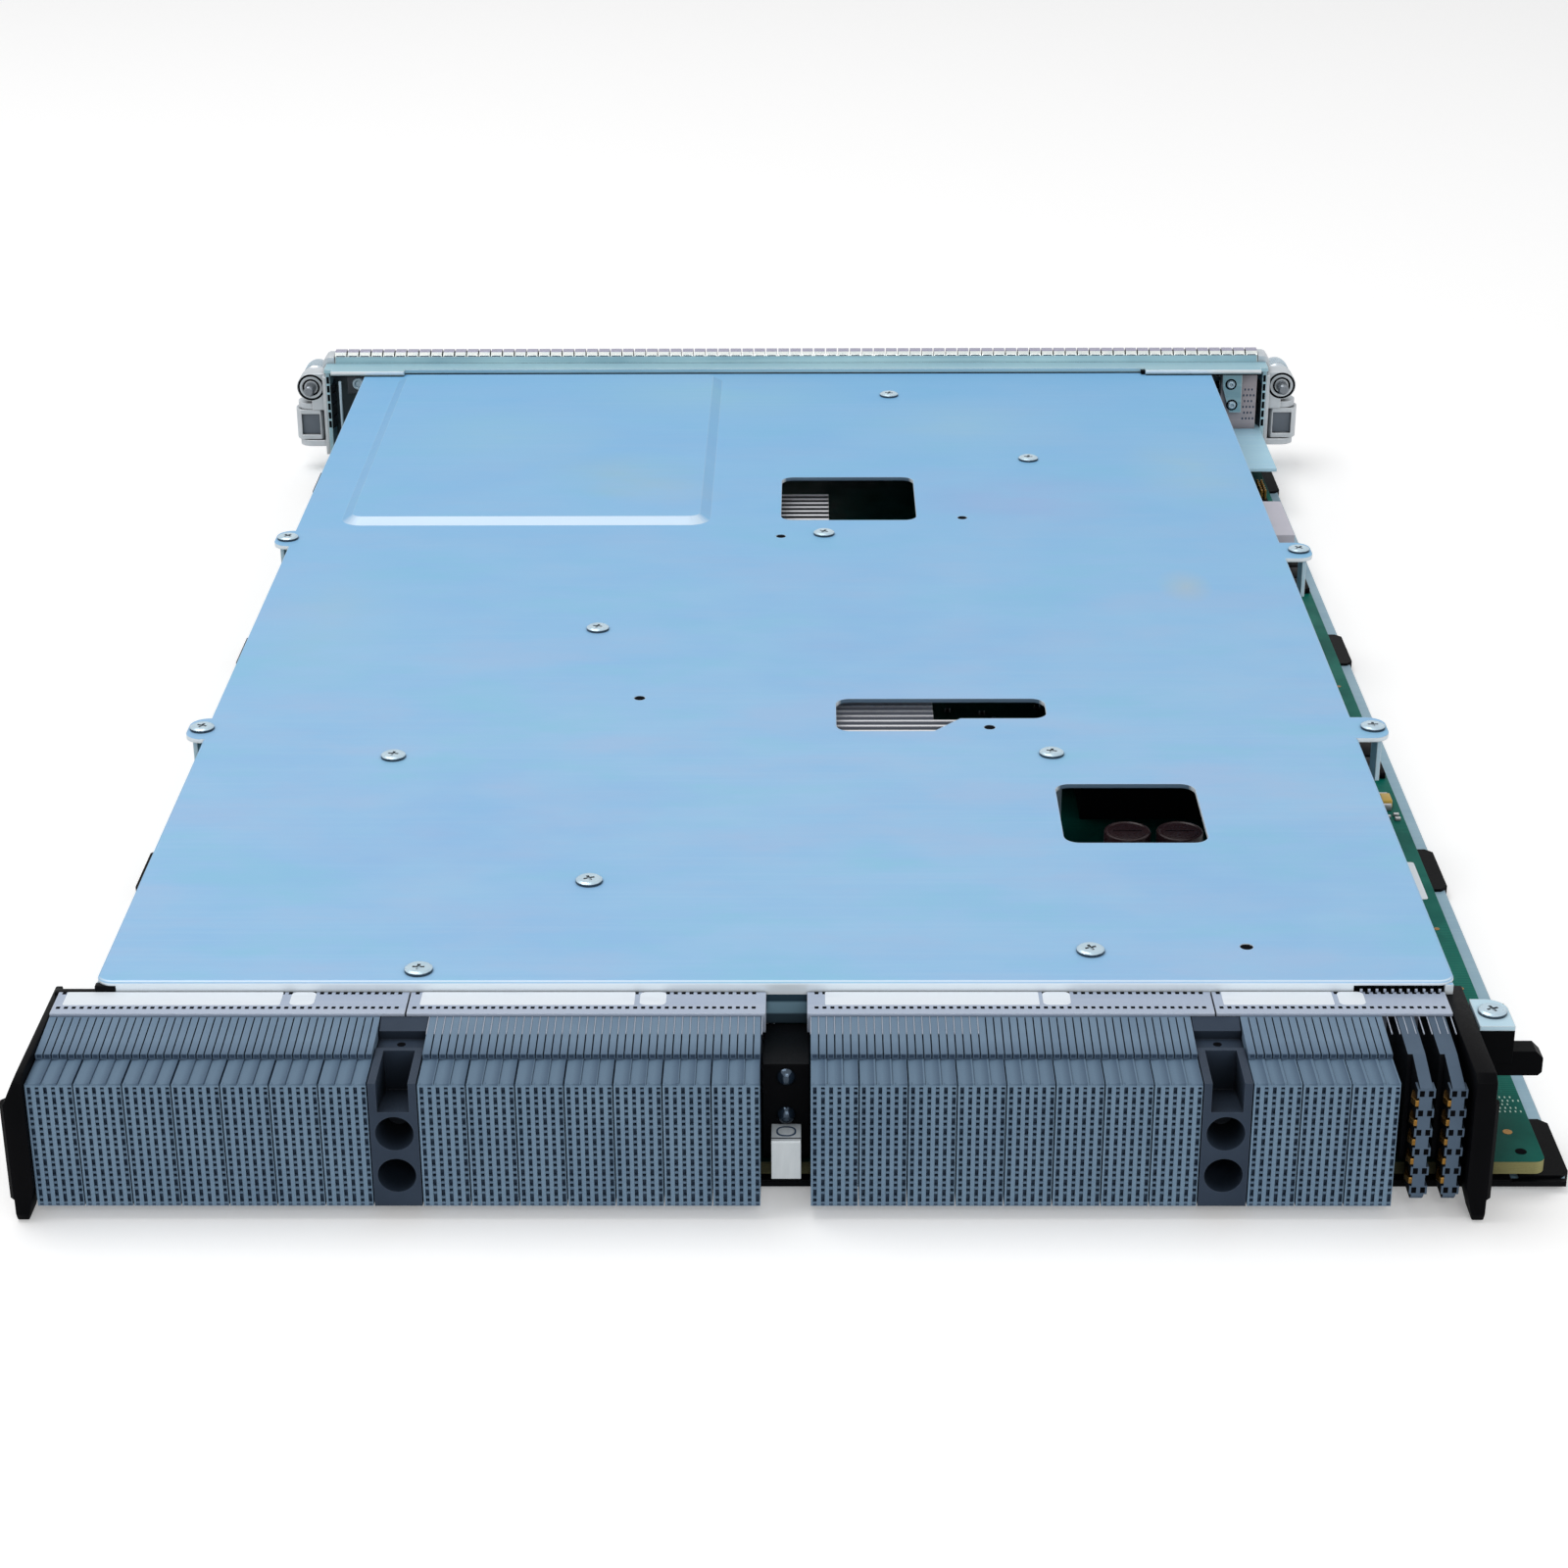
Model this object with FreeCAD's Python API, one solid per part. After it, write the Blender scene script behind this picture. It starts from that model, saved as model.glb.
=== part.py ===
import FreeCAD
import Part
import math
import os

V = FreeCAD.Vector

# Axes: X across the card, Y from the backplane connectors towards the faceplate, Z up.
# While modelling, Y is counted from the connectors' mating face and Z from the resting surface.

# Overall size: tray width, and distance from the mating face to the faceplate's front
tray_width = 366.0
panel_front = 552.0

# Layers of the card, from the resting surface up
foot_clearance = 1.5
tray_thickness = 1.2
film_thickness = 0.4
board_gap = 3.2
board_thickness = 3.2
cover_gap = 31.2
cover_thickness = 1.2

# General clearances
seat_gap = 0.2
slip_gap = 0.3
running_gap = 0.05
pin_gap = 0.02

# Base tray and its edge pads
tray_front = 12.0
tray_left_trim = 2.0
tray_corner_radius = 3.0
pad_length = 26.0
pad_reach = 11.0
pad_wall = 0.8
pad_front_inset = 1.5
pad_back_inset = 10.3
pad_spread = (0.0, 0.308, 0.648, 1.0)
pad_corner = 2.0

# Circuit board and insulating film
board_inset = 5.9
board_front = 10.2
board_corner_radius = 2.5
board_panel_gap = 3.5
film_margin = 2.0
film_front = 12.0
standoff_radius = 3.0
standoff_x_places = (-140.0, 0.0, 135.0)
standoff_y_places = (62.0, 200.0, 345.0)
standoff_back_inset = 47.0

# Top cover
cover_left_inset = 20.2
cover_right_inset = 24.0
cover_front = 38.5
cover_back_gap = 11.0
cover_corner_radius = 4.0
flange_drop = 11.2
flange_left_inset = 4.9
flange_right_inset = 24.1
flange_bend = 1.0
corner_leg_inset = 2.6
corner_leg_width = 2.0
corner_leg_drop = 6.0
emboss_height = 2.0
emboss_slope = 3.4
emboss_left_inset = 13.8
emboss_width = 122.5
emboss_back_inset = 10.0
emboss_length = 169.0
emboss_radius = 7.0
window_radius = 4.0
fabric_window = (-3.0, 42.0, 366.8, 411.2)
capacitor_window = (72.4, 109.8, 115.2, 152.3)
slot_window_left = 14.0
slot_window_right = 73.6
slot_window_back = 212.2
slot_window_step = 197.8
slot_window_front = 188.7
slot_step_start = 41.3
slot_step_end = 49.0
peep_hole_radius = 1.6
peep_holes = ((-2.9, 351.0), (57.2, 369.0), (-42.3, 213.0), (57.0, 191.4), (111.8, 56.3))

# Cover screws, their standoffs, and the side ears
screw_head_radius = 3.5
screw_head_height = 2.0
screw_shank_radius = 1.5
screw_length = 5.0
screw_hole_radius = 1.8
thread_hole_radius = 1.6
hex_standoff_flats = 5.5
cover_screw_places = ((83.0, 430.5), (11.2, 353.0), (-57.7, 267.4), (-108.0, 171.0), (73.0, 172.5),
                      (-49.1, 92.4), (74.0, 53.9), (-86.6, 44.0))
back_screw_x = 36.0
back_screw_inset = 34.5
ear_inset = 14.8
ear_screw_inset = 18.8
ear_width = 15.0
ear_radius = 5.0
ear_places = ((1, 336.5), (1, 190.8), (-1, 349.5), (-1, 190.8))
bracket_sheet = 1.2
bracket_wall_inset = 33.0
bracket_foot = 11.0
bracket_width = 9.0
bracket_lip_inset = 16.8
bracket_lip_drop = 13.0

# Backplane connector row
row_start = -171.3
column_pitch = 1.85
columns_per_module = 6
section_modules = (7, 7, 8, 3)
slot_width = 11.3
module_gap = 0.3
face_bottom = 3.5
face_top = 35.7
housing_depth = 11.6
contact_groove_width = 0.85
contact_groove_depth = 1.2
contact_groove_margin = 1.0
lip_facet_fall = 0.35
wafer_top = 36.8
wafer_step_y = 27.2
wafer_slit_width = 0.3
wafer_slit_depth = 1.2

# Stiffener plates over the wafers
stiffener_front = 27.5
stiffener_back = 38.2
stiffener_sheet = 0.8
stiffener_rise = 1.2
stiffener_foot = 12.0
stiffener_lip = 5.0
stiffener_split = 0.4

# Guide sockets
guide_length = 33.0
guide_bore_radius = 4.4
guide_bore_z = 11.6
guide_bore_depth = 22.0
guide_funnel_z = 22.6
guide_funnel_depth = 9.0
guide_funnel_end_radius = 2.6
guide_slot_width = 7.3
guide_slot_back = 15.4
guide_slot_floor_front = 28.2
guide_slot_floor_back = 25.4
guide_panel_z = 34.6
guide_lip_front = 22.7
guide_panel_front = 17.6

# Centre bay
bay_block_width = 10.6
bay_block_top = 34.0
bay_block_fall = 3.8
bay_block_front = 12.0
bay_screw_radius = 2.3
bay_screw_height = 1.6
bay_screw_heights = (20.6, 30.6)
ground_width = 6.8
ground_front = 4.0
ground_nose_bottom = 8.3
ground_top = 18.2
ground_chamfer = 0.3

# Power blades
blade_first_gap = 4.2
blade_pitch = 7.3
blade_count = 2
blade_thickness = 2.9
blade_front = 0.6
blade_bottom = 4.5
blade_foot_chamfer = 1.3
blade_top_fall = 1.6
blade_shoulder = 1.1
tooth_reach = 0.7
tooth_back_reach = 0.5
tooth_depth = 3.4
tooth_height = 2.2
tooth_pitch = 5.05
tooth_count = 6
tooth_first_z = 6.3
contact_reach = 1.5
contact_depth = 5.0
contact_height = 1.5

# End plates of the connector row
plate_thickness = 4.8
plate_front = -1.5
plate_top = 38.0
plate_back = 46.0
plate_knee = 4.0
plate_knee_depth = 2.3
plate_toe = 6.5
plate_toe_rise = 4.0
plate_bevel = 2.0
plate_bevel_height = 9.0
plate_right_gap = 2.0
plate_rib = 1.0
plate_rib_bottom = 6.0
plate_rib_top = 31.0

# Rear corner block and tab
corner_gap = 0.7
corner_width = 8.2
corner_front = 23.6
corner_back = 37.0
corner_column_width = 4.4
corner_head_bottom = 27.7
corner_top = 36.3
arm_reach = 15.6
arm_front = 24.4
arm_back = 29.6
arm_bottom = 24.0
arm_top = 30.4
arm_chamfer = 1.8

# Parts on the board
chip_height = 3.0
fabric_sink = (-46.0, 13.0, 360.0, 420.0)
processor_sink = (-28.0, 42.0, 178.0, 236.0)
sink_base = 4.0
sink_top = 33.0
fin_thickness = 1.6
fin_pitch = 4.2
chip_inset = 12.0
capacitor_radius = 6.3
capacitor_height = 23.0
capacitor_crown = 1.0
capacitor_places = ((91.5, 143.0), (105.5, 143.0), (91.5, 129.0), (105.5, 129.0))
memory_length = 133.0
memory_start = 262.0
memory_gap = 15.0
memory_pitch = 12.0
memory_count = 2
memory_thickness = 1.4
memory_height = 24.0
memory_socket_width = 6.5
memory_socket_height = 6.0
converter_size = (57.0, 36.0, 11.0)
converter_places = ((84.0, 60.0), (84.0, 200.0), (-140.0, 60.0))
drive_size = (70.0, 100.0, 9.5)
drive_inset = 26.0
drive_front_inset = 34.0
drive_lift = 17.0
drive_sheet = 1.2
drive_foot = 8.0
can_edge_gap = 1.5
can_width = 27.6
can_length = 36.0
can_gap = 37.0
can_height = 9.4
can_sheet = 0.5
gusset_width = 31.0
gusset_length = 63.0
gusset_height = 9.4
gusset_sheet = 1.2

# Faceplate
panel_sheet = 1.5
panel_inset = 2.0
panel_left_trim = 2.2
panel_flange_reach = 16.5
panel_lip_reach = 3.0
panel_lip_inset = 3.0
panel_lip_widths = (28.0, 44.0)
panel_return_depth = 13.0
vent_width = 1.6
vent_height = 3.4
vent_insets = (13.0, 17.0, 21.0)
vent_heights = (27.0, 32.0, 37.0)
air_slot_width = 13.0
air_slot_height = 2.4
air_slot_x_places = (-95.0, -77.0, -59.0, -41.0, -23.0, -5.0, 13.0)
air_slot_heights = (29.0, 33.5, 38.0)

# Shielding gaskets
finger_pitch = 4.6
finger_gap = 0.5
gasket_sheet = 0.4
gasket_depth = 8.5
gasket_bulge = 1.2
gasket_crest = 3.2
gasket_fall = 2.4
top_gasket_rise = 4.0
top_gasket_inset = 3.2
side_gasket_rise = 1.2
side_gasket_low = 9.5
side_gasket_high = 26.0

# Ejector brackets, levers and pins
bracket_cheek = 1.4
bracket_cheek_depth = 13.0
bracket_bottom = 8.4
bracket_cap_reach = 3.0
bracket_cap_rise = 2.6
bracket_cap_ease = 1.0
pivot_inset = 2.5
hub_radius = 6.0
hub_flat = 4.6
hub_pocket_width = 7.0
hub_pocket_depth = 1.6
hub_pocket_margin = 1.8
lever_bottom = 12.6
lever_height = 11.9
ear_plate_thickness = 2.4
ear_plate_radius = 5.0
lever_side_gap = 0.3
lever_pin_radius = 1.5
lever_pin_head_radius = 2.6
lever_pin_head = 0.8
handle_length = 72.0
handle_gap = 0.8
handle_depth = 7.0
handle_flare = 3.2
handle_flare_length = 12.0
handle_root = 9.0
handle_taper = 3.0
handle_tip = 3.0
handle_hollow = 2.0

# Captive screws
captive_offset = 6.6
captive_z = 33.8
boss_radius = 5.4
boss_depth = 8.5
boss_wall = 3.0
boss_bore_radius = 3.5
captive_thread_radius = 2.0
captive_neck_radius = 1.5
captive_thread_length = 7.0
captive_tip_reach = 6.0
captive_travel = 3.5
knob_radius = 4.8
knob_length = 11.0
knob_stand = 4.0
knob_bore_radius = 3.7
knob_bore_depth = 4.5
knob_slot_width = 1.2
knob_slot_depth = 1.6
knob_chamfer = 0.8
retainer_radius = 3.1
retainer_thickness = 0.8
spring_outer_radius = 3.2
spring_inner_radius = 2.3

# Front-panel ports
port_proud = 0.4
jack_pitch = 15.2
jack_height = 13.4
jack_depth = 16.0
jack_wall = 1.6
jack_opening_height = 8.4
jack_opening_depth = 12.5
jack_latch_width = 6.0
jack_latch_height = 1.8
jack_starts = (-96.0, -28.0)
jack_counts = (4, 2)
cage_pitch = 16.0
cage_width = 14.8
cage_height = 10.4
cage_depth = 40.0
cage_sheet = 0.5
cage_starts = (12.0, 28.0)
service_left = 52.0
service_width = 13.2
service_height = 6.0
service_depth = 14.0
service_sheet = 0.5
service_tongue = 1.6
service_tongue_inset = 1.5
alarm_centre = 86.0
alarm_flange_width = 31.0
alarm_flange_height = 12.6
alarm_flange_sheet = 1.0
alarm_shell_width = 18.6
alarm_shell_slant = 1.6
alarm_shell_height = 9.6
alarm_shell_reach = 5.6
alarm_body_depth = 10.0
coax_places = (40.0, 52.0)
coax_z = 32.0
coax_radius = 3.2
coax_nut_radius = 4.6
coax_nut = 2.0
coax_reach = 8.0
coax_core_radius = 1.6
coax_tail = 8.0
display_left = 66.0
display_width = 30.0
display_height = 9.0
display_bottom = 28.5
display_depth = 5.0
display_rim = 1.5
light_radius = 1.2
light_first = 104.0
light_pitch = 6.0
light_count = 4
light_heights = (29.0, 37.0)
light_length = 6.0

# Push buttons
button_places = (104.6, 112.6)
button_z = 14.0
button_radius = 2.0
button_proud = 1.2
button_travel = 0.8
button_collar_radius = 2.9
button_collar = 1.2
button_length = 6.0
switch_size = (6.0, 7.0)

# Places worked out from the sizes above
tray_half = tray_width / 2
board_width = tray_width - 2 * board_inset
film_width = tray_width - 2 * (pad_reach + film_margin)
cover_left = tray_half - cover_left_inset
cover_right = tray_half - cover_right_inset
cover_back = panel_front - cover_back_gap
flange_start = flange_left_inset - cover_left
flange_end = cover_right - flange_right_inset
emboss_left = emboss_left_inset - cover_left
emboss_right = emboss_left + emboss_width
emboss_back = cover_back - emboss_back_inset
emboss_front = emboss_back - emboss_length
ear_reach = tray_half - ear_inset
ear_screw_x = tray_half - ear_screw_inset
bracket_wall_x = tray_half - bracket_wall_inset
bracket_lip_x = tray_half - bracket_lip_inset
panel_half_width = tray_half - panel_inset
panel_left = panel_left_trim - panel_half_width
memory_last = bracket_wall_x - bracket_foot - memory_gap
memory_places = [memory_last - n * memory_pitch for n in range(memory_count)]
drive_corner = (emboss_left + drive_inset, emboss_front + drive_front_inset)
gusset_left = panel_half_width - gusset_width
gusset_front = panel_front - gusset_length
can_right = board_width / 2 - can_edge_gap
can_left = can_right - can_width
can_back = gusset_front - can_gap
can_front = can_back - can_length
tray_z = foot_clearance
tray_top = tray_z + tray_thickness
film_top = tray_top + film_thickness
board_z = tray_top + board_gap
board_top = board_z + board_thickness
cover_z = board_top + cover_gap
cover_top = cover_z + cover_thickness
panel_back = panel_front - panel_sheet
tray_back = panel_front - gasket_depth - seat_gap
board_back = panel_back - board_panel_gap
module_pitch = column_pitch * columns_per_module
stiffener_z = wafer_top + stiffener_rise
flange_low = tray_top
flange_high = cover_top + seat_gap
panel_high = flange_high + panel_sheet
cheek_outer = panel_half_width + bracket_cheek
pivot_x = cheek_outer + slip_gap + hub_radius
pivot_y = panel_front - pivot_inset
captive_x = panel_half_width + captive_offset
lever_top = lever_bottom + lever_height
boss_front = panel_front
boss_back = boss_front - boss_depth
knob_back = boss_front + knob_stand
knob_front = knob_back + knob_length
captive_tip = boss_back - captive_tip_reach
middle_x = panel_left_trim / 2
middle_y = (plate_front + knob_front) / 2


def row_places():
    # Start of every section, guide socket and bay along the connector row
    starts = []
    x = row_start
    for count in section_modules:
        starts.append(x)
        x = x + count * module_pitch + slot_width
    return starts


section_starts = row_places()
section_ends = [x + n * module_pitch for x, n in zip(section_starts, section_modules)]
guide_starts = (section_ends[0], section_ends[2])
bay_start = section_ends[1]
bay_middle = bay_start + slot_width / 2
blade_starts = [section_ends[-1] + blade_first_gap + n * blade_pitch for n in range(blade_count)]
plate_right = blade_starts[-1] + blade_thickness + plate_right_gap
corner_left = plate_right + plate_thickness + corner_gap
arm_end = corner_left + arm_reach
screw_places = cover_screw_places + ((back_screw_x, cover_back - back_screw_inset),)


def box(x0, x1, y0, y1, z0, z1):
    return Part.makeBox(x1 - x0, y1 - y0, z1 - z0, V(x0, y0, z0))


def rounded_box(x0, x1, y0, y1, z0, z1, radius):
    block = box(x0, x1, y0, y1, z0, z1)
    upright = [e for e in block.Edges if abs(e.tangentAt(e.FirstParameter).z) > 0.99]
    return block.makeFillet(radius, upright)


def prism(points, direction):
    return Part.Face(Part.makePolygon(points + points[:1])).extrude(direction)


def side_prism(points, x0, x1):
    # Outline of (y, z) points, extruded across the card
    return prism([V(x0, y, z) for y, z in points], V(x1 - x0, 0, 0))


def end_prism(points, y0, y1):
    # Outline of (x, z) points, extruded along the card
    return prism([V(x, y0, z) for x, z in points], V(0, y1 - y0, 0))


def flat_prism(points, z0, z1):
    # Outline of (x, y) points, extruded upwards
    return prism([V(x, y, z0) for x, y in points], V(0, 0, z1 - z0))


def post(x, y, z0, z1, radius):
    return Part.makeCylinder(radius, z1 - z0, V(x, y, z0), V(0, 0, 1))


def rod(x, z, y0, y1, radius):
    return Part.makeCylinder(radius, y1 - y0, V(x, y0, z), V(0, 1, 0))


def join(first, *others):
    return first.fuse(list(others)).removeSplitter()


def group(solids):
    return Part.makeCompound(solids)


def left_end(shape):
    # The same part at the faceplate's left end
    return mirrored(shape).translated(V(panel_left_trim, 0, 0))


def mirrored(shape):
    return shape.mirror(V(0, 0, 0), V(1, 0, 0))


def hexagon(x, y, z0, z1, flats):
    corner = flats / math.sqrt(3)
    points = [(x + corner * math.cos(math.radians(60 * k)), y + corner * math.sin(math.radians(60 * k)))
              for k in range(6)]
    return flat_prism(points, z0, z1)


def base_tray():
    return rounded_box(tray_left_trim - tray_half, tray_half, tray_front, tray_back, tray_z, tray_top,
                       tray_corner_radius)


def edge_pad(start):
    edge = tray_half
    inner = edge - pad_reach
    shell = box(inner, edge + pad_wall, start, start + pad_length, tray_z - pad_wall, tray_top + pad_wall)
    rim = [e for e in shell.Edges if abs(e.tangentAt(e.FirstParameter).z) > 0.99 and e.BoundBox.XMin > edge]
    shell = shell.makeChamfer(pad_corner, rim)
    return shell.cut(box(inner, edge, start, start + pad_length, tray_z, tray_top))


def edge_pads():
    first = tray_front + pad_front_inset
    last = tray_back - pad_back_inset - pad_length
    right = [edge_pad(first + share * (last - first)) for share in pad_spread]
    left = [mirrored(pad).translated(V(tray_left_trim, 0, 0)) for pad in right]
    return group(right + left)


def standoff_places():
    rows = standoff_y_places + (board_back - standoff_back_inset,)
    return [(x, y) for x in standoff_x_places for y in rows]


def insulator_film():
    back = tray_back - panel_flange_reach
    film = box(tray_left_trim - film_width / 2, film_width / 2, film_front, back, tray_top, film_top)
    holes = [post(x, y, tray_top, film_top, standoff_radius + slip_gap) for x, y in standoff_places()]
    return film.cut(holes)


def board_standoffs():
    return group([post(x, y, tray_top, board_z, standoff_radius) for x, y in standoff_places()])


def circuit_board():
    board = rounded_box(-board_width / 2, board_width / 2, board_front, board_back, board_z, board_top,
                        board_corner_radius)
    notches = [box(x - slip_gap, x + slot_width + slip_gap, board_front, guide_length + slip_gap,
                   board_z, board_top) for x in guide_starts]
    return board.cut(notches)


def emboss_form(base_z, inset):
    # Raised panel with sloped sides, between a foot outline and a smaller top outline
    outlines = []
    for step, z in ((inset, base_z), (inset + emboss_slope, base_z + emboss_height)):
        plate = rounded_box(emboss_left + step, emboss_right - step, emboss_front + step, emboss_back - step,
                            z, z + 1, max(emboss_radius - step, 1))
        lowest = min(plate.Faces, key=lambda face: face.CenterOfMass.z)
        outlines.append(lowest.OuterWire)
    return Part.makeLoft(outlines, True)


def slot_window():
    points = [(slot_window_left, slot_window_front), (slot_step_start, slot_window_front),
              (slot_step_end, slot_window_step), (slot_window_right, slot_window_step),
              (slot_window_right, slot_window_back), (slot_window_left, slot_window_back)]
    opening = flat_prism(points, cover_z, cover_top)
    corners = [e for e in opening.Edges if abs(e.tangentAt(e.FirstParameter).z) > 0.99
               and not slot_step_start - 1 < e.CenterOfMass.x < slot_step_end + 1]
    return opening.makeFillet(window_radius, corners)


def cover_ear(side, y):
    edge = cover_right if side > 0 else cover_left
    ear = box(edge - ear_radius, ear_reach, y - ear_width / 2, y + ear_width / 2, cover_z, cover_top)
    tip = [e for e in ear.Edges if abs(e.tangentAt(e.FirstParameter).z) > 0.99 and e.BoundBox.XMin > edge]
    ear = ear.makeFillet(ear_radius, tip)
    return ear if side > 0 else mirrored(ear)


def top_cover():
    sheet = rounded_box(-cover_left, cover_right, cover_front, cover_back, cover_z, cover_top,
                        cover_corner_radius)
    flange = box(flange_start, flange_end, cover_front, cover_front + cover_thickness,
                 cover_top - flange_drop, cover_top)
    leg_start = cover_right - corner_leg_inset
    leg = box(leg_start, leg_start + corner_leg_width, cover_front, cover_front + cover_thickness,
              cover_z - corner_leg_drop + cover_thickness, cover_top - flange_bend)
    ears = [cover_ear(side, y) for side, y in ear_places]
    sheet = join(sheet, emboss_form(cover_top, 0), flange, *ears)
    bend = [e for e in sheet.Edges
            if e.BoundBox.YMax < cover_front + 0.01 and e.BoundBox.ZMin > cover_top - 0.01]
    sheet = join(sheet.makeFillet(flange_bend, bend).Solids[0], leg)
    x0, x1, y0, y1 = fabric_window
    cuts = [emboss_form(cover_z, cover_thickness / 2), slot_window(),
            rounded_box(x0, x1, y0, y1, cover_z, cover_top, window_radius)]
    x0, x1, y0, y1 = capacitor_window
    cuts.append(rounded_box(x0, x1, y0, y1, cover_z, cover_top, window_radius))
    for x, y in screw_places:
        cuts.append(post(x, y, cover_z, cover_top, screw_hole_radius))
    for side, y in ear_places:
        cuts.append(post(side * ear_screw_x, y, cover_z, cover_top, screw_hole_radius))
    for x, y in peep_holes:
        cuts.append(post(x, y, cover_z, cover_top, peep_hole_radius))
    return sheet.cut(cuts)


def pan_screw(x, y, seat_z, length):
    # Low head with an eased rim, on a plain shank
    head = post(x, y, seat_z, seat_z + screw_head_height, screw_head_radius)
    rim = [e for e in head.Edges if e.Closed and e.BoundBox.ZMin > seat_z + screw_head_height / 2]
    head = head.makeChamfer(screw_head_height * 0.4, rim)
    return join(head, post(x, y, seat_z - length, seat_z, screw_shank_radius))


def corner_screw_place():
    return corner_left + corner_width / 2, (corner_front + corner_back) / 2


def cover_standoff(x, y):
    column = hexagon(x, y, board_top, cover_z, hex_standoff_flats)
    depth = screw_length - cover_thickness + seat_gap
    return column.cut(post(x, y, cover_z - depth, cover_z, thread_hole_radius))


def cover_standoffs():
    return group([cover_standoff(x, y) for x, y in screw_places])


def side_bracket(side, y):
    # Folded sheet: foot on the board, wall, shelf under the ear and a hanging lip
    inner = bracket_wall_x - bracket_foot
    shelf_z = cover_z - bracket_sheet
    lip_z = cover_z - bracket_lip_drop
    lip_inner = bracket_lip_x - bracket_sheet
    wall_inner = bracket_wall_x - bracket_sheet
    foot_top = board_top + bracket_sheet
    outline = [(inner, board_top), (bracket_wall_x, board_top), (bracket_wall_x, shelf_z),
               (lip_inner, shelf_z), (lip_inner, lip_z), (bracket_lip_x, lip_z), (bracket_lip_x, cover_z),
               (wall_inner, cover_z),
               (wall_inner, foot_top), (inner, foot_top)]
    sheet = end_prism(outline, y - bracket_width / 2, y + bracket_width / 2)
    sheet = sheet.cut(post(ear_screw_x, y, shelf_z, cover_z, thread_hole_radius))
    return sheet if side > 0 else mirrored(sheet)


def side_brackets():
    return group([side_bracket(side, y) for side, y in ear_places])


def connector_module(x):
    # Moulded front housing of one module: a groove for every contact column, a slanted lip over every pair
    right = x + module_pitch - module_gap
    ledge = board_front - seat_gap
    outline = [(0, face_bottom), (ledge, face_bottom), (ledge, board_top), (housing_depth, board_top),
               (housing_depth, face_top), (0, face_top)]
    block = side_prism(outline, x, right)
    cuts = []
    for column in range(columns_per_module):
        middle = x + (column + 0.5) * column_pitch
        half = contact_groove_width / 2
        cuts.append(box(middle - half, middle + half, 0, contact_groove_depth,
                        face_bottom + contact_groove_margin, face_top - contact_groove_margin))
    for pair in range(columns_per_module // 2):
        left = x + 2 * pair * column_pitch
        facet = [(left, face_top), (left, face_top - lip_facet_fall), (left + 2 * column_pitch, face_top)]
        cuts.append(end_prism(facet, 0, housing_depth))
    return block.cut(cuts)


def connector_housing(section):
    start = section_starts[section]
    return group([connector_module(start + n * module_pitch) for n in range(section_modules[section])])


def wafer_stack(section):
    # Stacked wafers behind the housings, parted by slits along their ribbed tops
    start = section_starts[section]
    end = section_ends[section] - module_gap
    back = stiffener_back - stiffener_sheet
    outline = [(housing_depth, board_top), (back, board_top), (back, stiffener_z),
               (wafer_step_y, stiffener_z), (housing_depth, wafer_top)]
    stack = side_prism(outline, start, end)
    slits = []
    for n in range(1, section_modules[section] * columns_per_module):
        middle = start + n * column_pitch
        slits.append(box(middle - wafer_slit_width / 2, middle + wafer_slit_width / 2, housing_depth,
                         wafer_step_y, wafer_top - wafer_slit_depth, stiffener_z))
    return stack.cut(slits)


def wafer_stacks():
    return group([wafer_stack(section) for section in range(len(section_modules))])


def stiffener_plate(x0, x1, lip_left, lip_right):
    # Stamped angle over the wafers, with a small turned-down lip beside the open bay
    top = stiffener_z + stiffener_sheet
    outline = [(stiffener_front, stiffener_z), (stiffener_back - stiffener_sheet, stiffener_z),
               (stiffener_back - stiffener_sheet, stiffener_foot), (stiffener_back, stiffener_foot),
               (stiffener_back, top), (stiffener_front, top)]
    plate = side_prism(outline, x0, x1)
    low = top - stiffener_lip
    if lip_left:
        plate = join(plate, box(x0 - stiffener_sheet, x0, stiffener_front, stiffener_back, low, top))
    if lip_right:
        plate = join(plate, box(x1, x1 + stiffener_sheet, stiffener_front, stiffener_back, low, top))
    return plate


def stiffeners():
    first_split = guide_starts[0] + slot_width / 2
    second_split = guide_starts[1] + slot_width / 2
    half = stiffener_split / 2
    row_end = plate_right - seat_gap
    return group([stiffener_plate(row_start, first_split - half, False, False),
                  stiffener_plate(first_split + half, bay_start, False, True),
                  stiffener_plate(section_starts[2], second_split - half, True, False),
                  stiffener_plate(second_split + half, row_end, False, False)])


def guide_socket(index):
    x0 = guide_starts[index]
    x1 = x0 + slot_width - module_gap
    middle = (x0 + x1) / 2
    outline = [(0, face_bottom), (guide_length, face_bottom), (guide_length, stiffener_z),
               (wafer_step_y, stiffener_z), (guide_lip_front, wafer_top), (guide_lip_front, guide_panel_z),
               (guide_panel_front, guide_panel_z), (guide_panel_front - 1, face_top), (0, face_top)]
    body = side_prism(outline, x0, x1)
    bore = rod(middle, guide_bore_z, 0, guide_bore_depth, guide_bore_radius)
    funnel = Part.makeCone(guide_bore_radius, guide_funnel_end_radius, guide_funnel_depth,
                           V(middle, 0, guide_funnel_z), V(0, 1, 0))
    slot = side_prism([(0, guide_slot_floor_front), (guide_slot_back, guide_slot_floor_back),
                       (guide_slot_back, face_top), (0, face_top)],
                      middle - guide_slot_width / 2, middle + guide_slot_width / 2)
    return body.cut([bore, funnel, slot])


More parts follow.
